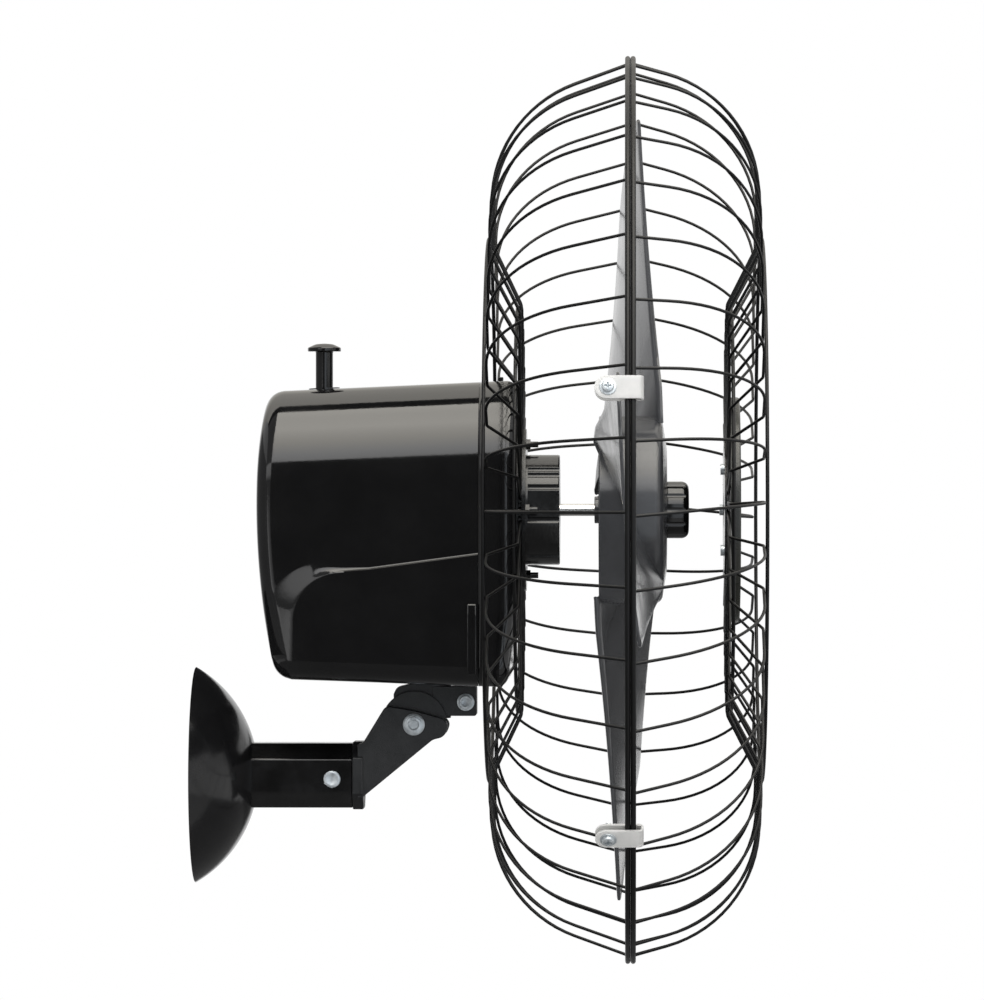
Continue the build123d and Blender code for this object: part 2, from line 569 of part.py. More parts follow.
with BuildPart() as crank_gear:
    toothed(facing_up(CRANK_Z, CRANK_X, CRANK_Y), 21.4, 20.2, 50, 6.0)
    disc(facing_up(CRANK_Z, CRANK_X, CRANK_Y), CRANK_POST_R + FIT, 6.0, Mode.SUBTRACT)
    disc(facing_up(CRANK_Z - 8.0, CRANK_X, CRANK_Y + CRANK_THROW), PIN_R, 8.0)
save(crank_gear, "crank_gear")

# The link hangs on the neck's anchor pin. Its eye is wide, and at rest off the crank pin's
# centre, because the true linkage isn't linear in the swivel angle.
LINK_Z, LINK_T, LINK_W = CRANK_Z - 7.5, 4.0, 5.0
EYE_X, EYE_Y, EYE_R, EYE_WALL = CRANK_X, CRANK_Y + 7.0, 5.9, 2.6
with BuildPart() as link_rod:
    with BuildSketch(facing_up(LINK_Z)):
        with BuildLine():
            Line((SWIVEL_X, ANCHOR_R), (EYE_X, EYE_Y))
        trace(line_width=LINK_W)
        with Locations((SWIVEL_X, ANCHOR_R)):
            Circle(4.0)
        with Locations((EYE_X, EYE_Y)):
            Circle(EYE_R + EYE_WALL)
            Circle(EYE_R, mode=Mode.SUBTRACT)
        with Locations((SWIVEL_X, ANCHOR_R)):
            Circle(PIN_R + FIT, mode=Mode.SUBTRACT)
    extrude(amount=LINK_T)
save(link_rod, "link_rod")

# ---- oscillation knob ---------------------------------------------------------------
KNOB_TOP, KNOB_UNDER, KNOB_R, KNOB_STEM_R = 288.3, 282.7, 11.15, 5.8
with BuildPart() as oscillation_knob:
    disc(facing_up(KNOB_UNDER, KNOB_X, KNOB_Y), KNOB_R, 2.6)
    with Locations((KNOB_X, KNOB_Y, KNOB_TOP - 22.0)):
        Sphere(22.0)
    with BuildSketch(facing_up(KNOB_UNDER, KNOB_X, KNOB_Y)):
        Circle(KNOB_R)
    extrude(amount=8.0, mode=Mode.INTERSECT)
    disc(facing_up(232.0, KNOB_X, KNOB_Y), KNOB_STEM_R, KNOB_UNDER + 1.0 - 232.0)
    disc(facing_up(232.0, KNOB_X, KNOB_Y), ROD_R, 20.0, Mode.SUBTRACT)
save(oscillation_knob, "oscillation_knob")

with BuildPart() as clutch_rod:
    disc(facing_up(162.0, KNOB_X, KNOB_Y), ROD_R, 90.0)
save(clutch_rod, "clutch_rod")

# ---- rotor: shaft, rotor core, blade ------------------------------------------------
SHAFT_BACK, SHAFT_END = 72.0, 322.0
WORM_START, WORM_LENGTH, WORM_PITCH = 77.0, 16.0, 2.8
HUB_BOSS_R = 13.0
hub_inside = HUB_SHOULDER - HUB_WALL    # the open cup's floor

with BuildPart() as motor_shaft:
    disc(facing_x(SHAFT_BACK, 0, AXIS_Z), SHAFT_R, SHAFT_END - SHAFT_BACK)
    disc(facing_x(WORM_START, 0, AXIS_Z), WORM_R, WORM_LENGTH)
    groove_count = int(WORM_LENGTH / WORM_PITCH)
    for groove in range(groove_count):
        with BuildSketch(facing_x(WORM_START + 1.2 + groove * WORM_PITCH, 0, AXIS_Z)):
            Circle(WORM_R)
            Circle(SHAFT_R - 0.3, mode=Mode.SUBTRACT)
        extrude(amount=1.2, mode=Mode.SUBTRACT)
    chamfer(edges().group_by(Axis.X)[-1], 0.6)
save(motor_shaft, "motor_shaft")

with BuildPart() as rotor_core:
    disc(facing_x(STATOR_START - 2.0, 0, AXIS_Z), ROTOR_R, STATOR_END - STATOR_START + 4.0)
    disc(facing_x(STATOR_START - 9.0, 0, AXIS_Z), ROTOR_R - 1.5, STATOR_END - STATOR_START + 18.0)
    disc(facing_x(STATOR_START - 9.0, 0, AXIS_Z), ROTOR_R - 9.0, 7.0, Mode.SUBTRACT)
    disc(facing_x(STATOR_END + 2.0, 0, AXIS_Z), ROTOR_R - 9.0, 7.0, Mode.SUBTRACT)
    disc(facing_x(STATOR_START - 9.0, 0, AXIS_Z), SHAFT_R, 80.0, Mode.SUBTRACT)
save(rotor_core, "rotor_core")


def wing_pitch(radius):
    """Slope of the wing against the rotation plane: steep at the root, flat at the tip."""
    return 0.63 * exp(-radius / 123.0)


def wing_half_chord(radius):
    """Half the wing's width at a radius."""
    return 45.0 + 0.165 * radius


def wing_frame(radius, angle):
    """A plane across a wing: its own axes lead with the rotation and point to the rear."""
    out = (0, sin(angle), cos(angle))
    lead = (0, cos(angle), -sin(angle))
    return Plane(
        origin=(WING_X, radius * out[1], AXIS_Z + radius * out[2]),
        x_dir=lead,
        z_dir=out,
    )


def wing_section(radius, angle, overhang=9.0):
    """The cambered section of a wing at a radius."""
    half = wing_half_chord(radius) + overhang
    rise = wing_pitch(radius) * half
    camber = 0.03 * half
    thick = 4.2 - 1.8 * radius / BLADE_R
    with BuildSketch(wing_frame(radius, angle)) as section:
        with BuildLine():
            Line((half, rise - 0.8), (half, rise + 0.8))
            ThreePointArc((half, rise + 0.8), (0, camber + thick / 2), (-half, -rise + 0.8))
            Line((-half, -rise + 0.8), (-half, -rise - 0.8))
            ThreePointArc((-half, -rise - 0.8), (0, camber - thick / 2), (half, rise - 0.8))
        make_face()
    return section.sketch


def wing_planform(angle):
    """The wing's outline along the fan's axis: narrow root, broad tip with round corners."""
    plane = Plane(origin=(HUB_BACK - 30.0, 0, AXIS_Z), x_dir=(0, cos(angle), -sin(angle)),
                  z_dir=(1, 0, 0))
    root, waist, shoulder = 34.0, 64.0, BLADE_R - 14.0
    half_root, half_waist, half_tip = 46.0, wing_half_chord(waist), wing_half_chord(shoulder)
    with BuildSketch(plane) as planform:
        with BuildLine():
            FilletPolyline(
                (half_root, root), (half_waist, waist), (half_tip, shoulder),
                (40.0, BLADE_R - 0.6), (-40.0, BLADE_R - 0.6), (-half_tip, shoulder),
                (-half_waist, waist), (-half_root, root),
                radius=[1.0, 20.0, 7.0, 60.0, 60.0, 7.0, 20.0, 1.0],
                close=True,
            )
        make_face()
    return planform.sketch


def wing(angle):
    """One wing: a twisted plate cut to its planform."""
    stations = [wing_section(radius, angle) for radius in (12.0, 60.0, 120.0, 190.0, 280.0)]
    plate = loft(stations, mode=Mode.PRIVATE)
    prism = extrude(wing_planform(angle), amount=120.0, mode=Mode.PRIVATE)
    return plate & prism


with BuildPart() as fan_blade:
    for number in range(WING_COUNT):
        add(wing(radians(30 + number * 360 / WING_COUNT)))
    disc(facing_x(HUB_BACK - 10, 0, AXIS_Z), HUB_R - 1.0, 60.0, Mode.SUBTRACT)
    with BuildSketch(Plane.XZ):
        with BuildLine():
            FilletPolyline(
                (HUB_BACK, AXIS_Z), (HUB_BACK, AXIS_Z + 9), (HUB_BACK + 7, AXIS_Z + 9),
                (HUB_BACK + 7, AXIS_Z + HUB_BOSS_R), (hub_inside, AXIS_Z + HUB_BOSS_R + 2),
                (hub_inside, AXIS_Z + HUB_R - HUB_WALL),
                (HUB_BACK + 3, AXIS_Z + HUB_R - HUB_WALL), (HUB_BACK + 3, AXIS_Z + HUB_R),
                (HUB_SHOULDER, AXIS_Z + HUB_R), (HUB_FRONT, AXIS_Z + HUB_FLAT_R), (HUB_FRONT, AXIS_Z),
                radius=[0.6, 0.6, 0.6, 2.0, 4.0, 1.0, 1.0, 6.0, 40.0],
            )
            Line((HUB_FRONT, AXIS_Z), (HUB_BACK, AXIS_Z))
        make_face()
    revolve(axis=Axis((0, 0, AXIS_Z), (1, 0, 0)))
    disc(facing_x(HUB_BACK - 5, 0, AXIS_Z), SHAFT_R, 80.0, Mode.SUBTRACT)
    disc(facing_up(AXIS_Z, HUB_BACK + 3.5), 1.5, 12.0, Mode.SUBTRACT)
save(fan_blade, "fan_blade")

with BuildPart() as hub_set_screw:
    disc(facing_up(AXIS_Z + SHAFT_R, HUB_BACK + 3.5), 1.5, 5.4)
save(hub_set_screw, "hub_set_screw")

with BuildPart() as spinner_nut:
    disc(facing_x(HUB_FRONT, 0, AXIS_Z), 19.0, 14.6)
    fillet(edges().group_by(Axis.X)[-1], 5.0)
    with BuildSketch(facing_x(HUB_FRONT + 1.0, 0, AXIS_Z)):
        with PolarLocations(19.6, 12):
            Circle(1.6)
    extrude(amount=20.0, mode=Mode.SUBTRACT)
    disc(facing_x(HUB_FRONT, 0, AXIS_Z), SHAFT_R, SHAFT_END - HUB_FRONT, Mode.SUBTRACT)
save(spinner_nut, "spinner_nut")

# ---- guard --------------------------------------------------------------------------
PLATE_HOLE_R = BOSS_R + 0.4
BACK_PLATE_R, BACK_PLATE_T = 64.0, 1.2
FRONT_PLATE_R, FRONT_PLATE_T = 54.0, 2.4
REAR_WIRE_END, FRONT_WIRE_END = 47.5, 36.0
WIRE_TIP_A, WIRE_TIP_R = 1.2, 297.1
BADGE_R, BADGE_T = 75.0, 7.0
BADGE_PLATE_R, BADGE_PLATE_T, BADGE_BOLT_R = 46.0, 1.2, 31.0

rear_recess_x = RIM_X - REAR_RECESS
front_recess_x = RIM_X + FRONT_RECESS


def wire_path(frame, depth, recess, slope, inner):
    """One radial wire: slanting in from the rim, round the shoulder, down the dished face."""
    bend_r = WIRE_TIP_R - (depth - WIRE_TIP_A) * tan(radians(slope))
    with BuildLine(frame) as path:
        FilletPolyline(
            (WIRE_TIP_R, WIRE_TIP_A),
            (bend_r, depth),
            (CROWN_RING_R, depth),
            (RECESS_RING_R, recess),
            (inner, recess),
            radius=[GUARD_BEND, DISH_BEND, DISH_BEND],
        )
    return path.line


def guard_wire(frame, depth, recess, slope, inner):
    """A swept wire inside the open part."""
    line = wire_path(frame, depth, recess, slope, inner)
    start = Plane(origin=line @ 0, z_dir=line % 0)
    with BuildSketch(start) as section:
        Circle(WIRE_R)
    sweep(section.sketch, path=line)


def radial_frame(angle, forward, lean=0.0):
    """A plane through the fan's axis: its own axes run out from the axis and along it."""
    out = Vector(0, -cos(angle), sin(angle))
    around = Vector(0, sin(angle), cos(angle))
    along = Vector(forward * cos(lean), 0, 0) + around * sin(lean)
    return Plane(origin=(RIM_X, 0, AXIS_Z), x_dir=out, z_dir=out.cross(along))


def ring(x, radius, wire_r):
    """A round wire ring about the fan's axis, inside the open part."""
    with BuildSketch(Plane.XZ) as section:
        with Locations((x, AXIS_Z + radius)):
            Circle(wire_r)
    revolve(section.sketch, axis=Axis((0, 0, AXIS_Z), (1, 0, 0)))


ring_gap = WIRE_R + RING_WIRE_R + LAY
rim_offset = RIM_WIRE_R + LAY / 2
with BuildPart() as rear_guard_wires:
    for number in range(WIRE_COUNT):
        turn = radians(REAR_PHASE + number * 360 / WIRE_COUNT)
        guard_wire(radial_frame(turn, -1), REAR_DEPTH, REAR_RECESS, REAR_SLOPE, REAR_WIRE_END)
save(rear_guard_wires, "rear_guard_wires")

with BuildPart() as rear_guard_rings:
    ring(RIM_X - rim_offset, RIM_R, RIM_WIRE_R)
    ring(RIM_X - REAR_DEPTH - ring_gap, CROWN_RING_R + 3.5, RING_WIRE_R)
    ring(rear_recess_x - ring_gap, RECESS_RING_R - 2.1, RING_WIRE_R)
save(rear_guard_rings, "rear_guard_rings")

lean = radians(FRONT_LEAN)
with BuildPart() as front_guard_wires:
    for number in range(WIRE_COUNT):
        turn = radians(FRONT_PHASE + number * 360 / WIRE_COUNT)
        guard_wire(radial_frame(turn, 1, lean), FRONT_DEPTH / cos(lean),
                   FRONT_RECESS / cos(lean), FRONT_SLOPE, FRONT_WIRE_END)
save(front_guard_wires, "front_guard_wires")

with BuildPart() as front_guard_rings:
    ring(RIM_X + rim_offset, RIM_R, RIM_WIRE_R)
    ring(RIM_X + FRONT_DEPTH + ring_gap, CROWN_RING_R + 3.5, RING_WIRE_R)
    ring(front_recess_x + ring_gap, RECESS_RING_R - 2.1, RING_WIRE_R)
save(front_guard_rings, "front_guard_rings")

with BuildPart() as guard_back_plate:
    back_x = rear_recess_x - WIRE_R - LAY - BACK_PLATE_T
    disc(facing_x(back_x, 0, AXIS_Z), BACK_PLATE_R, BACK_PLATE_T)
    disc(facing_x(back_x, 0, AXIS_Z), PLATE_HOLE_R, BACK_PLATE_T, Mode.SUBTRACT)
    with BuildSketch(facing_x(back_x, 0, AXIS_Z)):
        with guard_bolts_at:
            Circle(2.1)
    extrude(amount=BACK_PLATE_T, mode=Mode.SUBTRACT)
save(guard_back_plate, "guard_back_plate")

with BuildPart() as guard_front_plate:
    front_x = rear_recess_x + WIRE_R + LAY
    disc(facing_x(front_x, 0, AXIS_Z), FRONT_PLATE_R, FRONT_PLATE_T)
    disc(facing_x(front_x, 0, AXIS_Z), PLATE_HOLE_R, FRONT_PLATE_T, Mode.SUBTRACT)
    with BuildSketch(facing_x(front_x, 0, AXIS_Z)):
        with guard_bolts_at:
            Circle(2.1)
    extrude(amount=FRONT_PLATE_T, mode=Mode.SUBTRACT)
save(guard_front_plate, "guard_front_plate")

with BuildPart() as guard_studs:
    for location in guard_bolts_at:
        spot = facing_x(BELL_FRONT - 9.0, location.position.X, AXIS_Z + location.position.Y)
        disc(spot, 2.0, 22.6)
save(guard_studs, "guard_studs")

with BuildPart() as guard_stud_nuts:
    for location in guard_bolts_at:
        with BuildSketch(facing_x(front_x + FRONT_PLATE_T, location.position.X,
                                  AXIS_Z + location.position.Y)):
            RegularPolygon(3.5, 6, major_radius=False)
            Circle(2.0, mode=Mode.SUBTRACT)
        extrude(amount=2.6)
save(guard_stud_nuts, "guard_stud_nuts")

# the bare badge on the front, with a plate behind the wires and three screws
badge_x = front_recess_x + WIRE_R + LAY
badge_plate_x = front_recess_x - WIRE_R - LAY - BADGE_PLATE_T
badge_screws_at = PolarLocations(BADGE_BOLT_R, 3, start_angle=-120)
with BuildPart() as guard_badge:
    disc(facing_x(badge_x, 0, AXIS_Z), BADGE_R, BADGE_T)
    fillet(edges().group_by(Axis.X)[-1], 1.6)
    with BuildSketch(facing_x(badge_x, 0, AXIS_Z)):
        with badge_screws_at:
            Circle(1.7)
    extrude(amount=2.6, mode=Mode.SUBTRACT)
save(guard_badge, "guard_badge")

with BuildPart() as badge_back_plate:
    disc(facing_x(badge_plate_x, 0, AXIS_Z), BADGE_PLATE_R, BADGE_PLATE_T)
    with BuildSketch(facing_x(badge_plate_x, 0, AXIS_Z)):
        with badge_screws_at:
            Circle(1.9)
        Circle(12.0)
    extrude(amount=BADGE_PLATE_T, mode=Mode.SUBTRACT)
save(badge_back_plate, "badge_back_plate")

with BuildPart() as badge_screws:
    for location in badge_screws_at:
        spot = facing_x(badge_plate_x, location.position.X, AXIS_Z + location.position.Y)
        disc(spot.offset(-2.4), 3.6, 2.4)
        disc(spot, 1.7, BADGE_PLATE_T + 2 * WIRE_R + 2 * LAY + 2.6)
save(badge_screws, "badge_screws")

# ---- clips that hold the two halves together ----------------------------------------
CLIP_ANGLES = (14.5, -43.2, 163.5, 200.3)   # above the near side, as seen from behind
CLIP_W, CLIP_T, CLIP_BACK, CLIP_FRONT = 14.6, 1.5, -22.3, 8.3
CLIP_SCREW_A = -14.0
clip_in, clip_out = RIM_R - RIM_WIRE_R - 0.15, RIM_R + RIM_WIRE_R + 0.15


def around_rim(angle, radius, axial=0.0):
    """A plane facing out from the fan's axis: its own axes are +X and around the rim."""
    out = Vector(0, -cos(angle), sin(angle))
    origin = Vector(RIM_X + axial, 0, AXIS_Z) + out * radius
    return Plane(origin=origin, x_dir=(1, 0, 0), z_dir=out)


with BuildPart() as guard_clips:
    for degrees_up in CLIP_ANGLES:
        turn = radians(degrees_up)
        side = radial_frame(turn, 1)
        with BuildSketch(side.offset(-CLIP_W / 2)) as strap:
            with Locations(((clip_in + clip_out) / 2, (CLIP_BACK + CLIP_FRONT) / 2)):
                Rectangle(clip_out - clip_in + 2 * CLIP_T, CLIP_FRONT - CLIP_BACK)
            fillet(strap.vertices().group_by(Axis.Y)[-1], 2.4)
            with Locations(((clip_in + clip_out) / 2, (CLIP_BACK + CLIP_FRONT - 2 * CLIP_T) / 2)):
                Rectangle(clip_out - clip_in, CLIP_FRONT - CLIP_BACK, mode=Mode.SUBTRACT)
        extrude(strap.sketch, amount=CLIP_W)
        disc(around_rim(turn, clip_in - 10, CLIP_SCREW_A), 2.1, 30, Mode.SUBTRACT)
save(guard_clips, "guard_clips")

with BuildPart() as clip_screws:
    for degrees_up in CLIP_ANGLES:
        turn = radians(degrees_up)
        head = around_rim(turn, clip_out + CLIP_T, CLIP_SCREW_A)
        disc(head, 5.3, 1.0)
        disc(head.offset(1.0), 3.9, 2.2)
        disc(head.offset(-13.0), 2.0, 13.0)
save(clip_screws, "clip_screws")

with BuildPart() as clip_nuts:
    for degrees_up in CLIP_ANGLES:
        turn = radians(degrees_up)
        with BuildSketch(around_rim(turn, clip_in - CLIP_T - 3.2, CLIP_SCREW_A)) as hexagon:
            RegularPolygon(3.5, 6, major_radius=False)
            Circle(2.0, mode=Mode.SUBTRACT)
        extrude(hexagon.sketch, amount=3.2)
save(clip_nuts, "clip_nuts")
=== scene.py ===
import json
from math import asin, ceil, cos, degrees, exp, hypot, pi, radians, sin, sqrt, tan

import bmesh
import bpy
from mathutils import Matrix, Vector
from numpy import interp


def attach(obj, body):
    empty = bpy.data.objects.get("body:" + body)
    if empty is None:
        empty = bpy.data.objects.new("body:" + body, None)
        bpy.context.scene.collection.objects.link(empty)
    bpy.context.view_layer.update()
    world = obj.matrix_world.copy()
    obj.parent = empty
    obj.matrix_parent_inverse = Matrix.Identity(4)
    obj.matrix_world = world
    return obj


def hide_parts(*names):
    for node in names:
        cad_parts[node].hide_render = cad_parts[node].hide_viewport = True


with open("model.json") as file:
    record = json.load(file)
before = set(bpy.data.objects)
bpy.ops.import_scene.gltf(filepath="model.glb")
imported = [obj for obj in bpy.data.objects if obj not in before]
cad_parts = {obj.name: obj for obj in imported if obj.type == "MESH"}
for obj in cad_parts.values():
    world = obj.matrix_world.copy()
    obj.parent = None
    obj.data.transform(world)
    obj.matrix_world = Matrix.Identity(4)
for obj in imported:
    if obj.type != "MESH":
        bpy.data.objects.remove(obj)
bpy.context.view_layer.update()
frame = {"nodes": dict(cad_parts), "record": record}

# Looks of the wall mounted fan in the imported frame: +X leaves the wall, +Z is up and -Y is the
# near side. Sizes are in millimetres and become metres in the meshes.
MM = 0.001
WELD = 2e-6  # points closer than this are one point, in metres
add_to_scene = bpy.context.scene.collection.objects.link

# ---- driving dimensions, as in the part's source ----
AXIS_Z = 176.7
RIM_X, RIM_R, RIM_WIRE_R = 290.0, 300.0, 1.75
SHELL_REAR, SHELL_SPLIT, SHELL_FRONT = 44.5, 190.3, 215.0
TILT_X, TILT_Z = 146.3, 34.3
ARM_BOLT_X, ARM_BOLT_Z = 92.0, -2.0
CLAMP_X, CLAMP_Z = 180.5, 48.9
SWIVEL_X = 158.3
KNOB_X, KNOB_Y = 85.0, 16.0


# ---- mesh helpers ----
def place_piece(ob, body, finish, replaced):
    """Put a piece on its body, with its finish and the CAD nodes that it stands for."""
    add_to_scene(ob)
    ob.data.materials.append(finish)
    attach(ob, body)
    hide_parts(*replaced)
    return ob


def thicken(ob, thickness, offset=-1.0):
    """Give a skin its wall: inward with offset -1, to both sides with 0."""
    wall = ob.modifiers.new("wall", "SOLIDIFY")
    wall.thickness, wall.offset = thickness * MM, offset


def soften(ob, width, segments=3, limit=40.0, harden=True):
    """Round a piece's edges that turn by more than limit degrees."""
    edge = ob.modifiers.new("edge", "BEVEL")
    edge.width, edge.segments = width * MM, segments
    edge.limit_method, edge.angle_limit = "ANGLE", radians(limit)
    edge.harden_normals = harden


def piece(name, parts, body, slot, replaced, crease=35.0, edge=0.0, wall=0.0):
    """A piece from (points, faces) parts. edge rounds its corners, wall thickens it."""
    bm = bmesh.new()
    for points, faces in parts:
        made = [bm.verts.new(Vector(p) * MM) for p in points]
        for face in faces:
            bm.faces.new([made[i] for i in face])
    bmesh.ops.remove_doubles(bm, verts=bm.verts, dist=WELD)
    bmesh.ops.dissolve_degenerate(bm, edges=bm.edges, dist=WELD)
    bmesh.ops.recalc_face_normals(bm, faces=bm.faces)
    middle = sum((v.co for v in bm.verts), Vector()) / len(bm.verts)
    if sum(f.normal.dot(f.calc_center_median() - middle) * f.calc_area() for f in bm.faces) < 0:
        bmesh.ops.reverse_faces(bm, faces=bm.faces)
    mesh = bpy.data.meshes.new(name)
    bm.to_mesh(mesh)
    bm.free()
    mesh.shade_smooth()
    mesh.set_sharp_from_angle(angle=radians(crease))
    ob = bpy.data.objects.new(name, mesh)
    if wall:
        thicken(ob, wall)
    if edge:
        soften(ob, edge)
    return place_piece(ob, body, finishes[slot], replaced)


def bore_upright(ob, x, radius, low, high, crease):
    """Cut an upright round hole at x through a piece."""
    bm = bmesh.new()
    spot = Matrix.Translation(Vector((x, 0.0, (low + high) / 2)) * MM)
    bmesh.ops.create_cone(bm, cap_ends=True, segments=72, radius1=radius * MM, radius2=radius * MM,
                          depth=(high - low) * MM, matrix=spot)
    mesh = bpy.data.meshes.new("hole")
    bm.to_mesh(mesh)
    bm.free()
    cutter = bpy.data.objects.new("hole", mesh)
    add_to_scene(cutter)
    cut = ob.modifiers.new("hole", "BOOLEAN")
    cut.operation, cut.solver, cut.object = "DIFFERENCE", "EXACT", cutter
    bpy.context.view_layer.update()
    bored = bpy.data.meshes.new_from_object(ob.evaluated_get(bpy.context.evaluated_depsgraph_get()))
    ob.modifiers.clear()
    ob.data = bored
    bored.set_sharp_from_angle(angle=radians(crease))
    bpy.data.objects.remove(cutter)
    bpy.data.meshes.remove(mesh)


def stepped(start, end, count):
    """Even steps from start, the last of them one short of end."""
    return [start + (end - start) * k / count for k in range(count)]


def swept(centre, arm, sweep, count):
    """Points of an arc: arm turned about centre in even steps."""
    return [centre + Vector((arm.x * cos(a) - arm.y * sin(a), arm.x * sin(a) + arm.y * cos(a)))
            for a in stepped(0.0, sweep, count) + [sweep]]


def rounded(corners, radii, step=7.0):
    """Corners joined by straight lines, each turned into an arc where its radius isn't 0."""
    count = len(corners)
    radii = radii if hasattr(radii, "__len__") else [radii] * count
    path = []
    for i, corner in enumerate(corners):
        here = Vector(corner)
        back = (Vector(corners[i - 1]) - here).normalized()
        ahead = (Vector(corners[(i + 1) % count]) - here).normalized()
        turn = pi - back.angle(ahead)
        if turn < 1e-4 or radii[i] < 1e-6:
            path.append(here)
            continue
        centre = here + (back + ahead).normalized() * (radii[i] / cos(turn / 2))
        arm = here + back * (radii[i] * tan(turn / 2)) - centre
        side = -1.0 if back.x * ahead.y - back.y * ahead.x > 0 else 1.0
        path += swept(centre, arm, side * turn, max(2, ceil(degrees(turn) / step)))
    return path


def prism(outline, place, start, end):
    """An outline pushed from start to end; place turns (u, v, depth) into a point."""
    count = len(outline)
    points = [place(p[0], p[1], w) for w in (start, end) for p in outline]
    sides = [(i, (i + 1) % count, (i + 1) % count + count, i + count) for i in range(count)]
    return points, [tuple(range(count)), tuple(range(2 * count - 1, count - 1, -1))] + sides


def grid(rows, closed=False, loop=False):
    """A surface through rows of points. closed joins each row's ends, and loop the outer rows."""
    across = len(rows[0])
    faces = []
    for r in range(len(rows) if loop else len(rows) - 1):
        for c in range(across if closed else across - 1):
            d, s = (c + 1) % across, (r + 1) % len(rows)
            faces.append((r * across + c, r * across + d, s * across + d, s * across + c))
    return [p for row in rows for p in row], faces


def turned(profile_at, place, turns, closed=False):
    """A surface about an axis; profile_at(a) gives its (along, radius) points at an angle."""
    rows = []
    for a in stepped(0, 2 * pi, turns):
        rows.append([place(x, r * cos(a), r * sin(a)) for x, r in profile_at(a)])
    return grid(rows, closed=closed, loop=True)


def lathe(profile, place, turns=96, radius=None):
    """(along, radius) points turned about an axis; radius(r, a) may change a point's radius."""
    def profile_at(a):
        return [(x, radius(r, a)) for x, r in profile] if radius else profile

    return turned(profile_at, place, turns, closed=max(profile[0][1], profile[-1][1]) > 1e-6)


# ways to place a helper's own measures in the frame
def from_side(u, v, depth):
    """An outline drawn in x and z, pushed across."""
    return u, depth, v


def from_front(u, v, depth):
    """An outline drawn in y and z, pushed along x."""
    return depth, u, v


def about_bracket(x, u, v):
    """Turning about the arm's axis."""
    return x, u, v


def about_fan(x, u, v):
    """Turning about the fan's axis."""
    return x, u, AXIS_Z + v


def cross_bolt(x, z):
    """Turning about a cross bolt at (x, z): for its near end and for its far end."""
    return lambda along, u, v: (x + u, -along, z + v), lambda along, u, v: (x + u, along, z + v)


def about_z(x, y):
    """Turning about an upright axis at (x, y)."""
    return lambda along, u, v: (x + u, y + v, along)


def wires(name, lines, radius, replaced, cyclic=False, sides=2):
    """The head's round wires along lines of points."""
    curve = bpy.data.curves.new(name, "CURVE")
    curve.dimensions = "3D"
    curve.bevel_depth = radius * MM
    curve.bevel_resolution = sides
    curve.use_fill_caps = not cyclic
    for line in lines:
        spline = curve.splines.new("POLY")
        spline.points.add(len(line) - 1)
        for point, at in zip(spline.points, line):
            point.co = (*(Vector(at) * MM), 1.0)
        spline.use_cyclic_u = cyclic
        spline.use_smooth = True
    place_piece(bpy.data.objects.new(name, curve), "head",
                finishes["wire_enamel"], replaced)


# ---- finishes ----
CLOUD_DETAIL, CLOUD_ROUGHNESS, FINE_DETAIL = 6.0, 0.6, 3.0
TONE_FROM, TONE_TO, GLOSS_FROM, GLOSS_TO = 0.35, 0.68, 0.3, 0.7  # ranges of the noise
RELIEF, SCATTER = 0.0004, 0.003  # in metres
finishes = {}


def add_node(tree, kind, **inputs):
    """A new shader node; each keyword sets the input of that name, with _ for a space."""
    node = tree.nodes.new(kind)
    for name, value in inputs.items():
        node.inputs[name.replace("_", " ")].default_value = value
    return node


def make_finish(name, dark, light, rough, grain, bump, bump_scale=900.0, metallic=0.0,
                stretch=(1, 1, 1), specular=0.5, subsurface=0.0):
    """A procedural finish: noise mixes two close colours and two roughnesses, over fine relief."""
    material = bpy.data.materials.new(name)
    material.use_nodes = True
    tree = material.node_tree
    shader, link = tree.nodes["Principled BSDF"], tree.links.new
    shader.inputs["Metallic"].default_value = metallic
    shader.inputs["Specular IOR Level"].default_value = specular
    if subsurface:
        shader.inputs["Subsurface Weight"].default_value = subsurface
        shader.inputs["Subsurface Radius"].default_value = (SCATTER, SCATTER, SCATTER)
    where = add_node(tree, "ShaderNodeTexCoord")
    scaled = add_node(tree, "ShaderNodeMapping", Scale=stretch)
    link(where.outputs["Object"], scaled.inputs["Vector"])
    cloud = add_node(tree, "ShaderNodeTexNoise", Scale=grain, Detail=CLOUD_DETAIL,
                     Roughness=CLOUD_ROUGHNESS)
    link(scaled.outputs["Vector"], cloud.inputs["Vector"])
    tone = add_node(tree, "ShaderNodeValToRGB")
    for element, at, tint in zip(tone.color_ramp.elements, (TONE_FROM, TONE_TO), (dark, light)):
        element.position, element.color = at, (*tint, 1)
    link(cloud.outputs["Fac"], tone.inputs["Fac"])
    link(tone.outputs["Color"], shader.inputs["Base Color"])
    gloss = add_node(tree, "ShaderNodeMapRange", From_Min=GLOSS_FROM, From_Max=GLOSS_TO,
                     To_Min=rough[0], To_Max=rough[1])
    link(cloud.outputs["Fac"], gloss.inputs["Value"])
    link(gloss.outputs["Result"], shader.inputs["Roughness"])
    fine = add_node(tree, "ShaderNodeTexNoise", Scale=bump_scale, Detail=FINE_DETAIL)
    link(scaled.outputs["Vector"], fine.inputs["Vector"])
    relief = add_node(tree, "ShaderNodeBump", Strength=bump, Distance=RELIEF)
    link(fine.outputs["Fac"], relief.inputs["Height"])
    link(relief.outputs["Normal"], shader.inputs["Normal"])
    finishes[name] = material


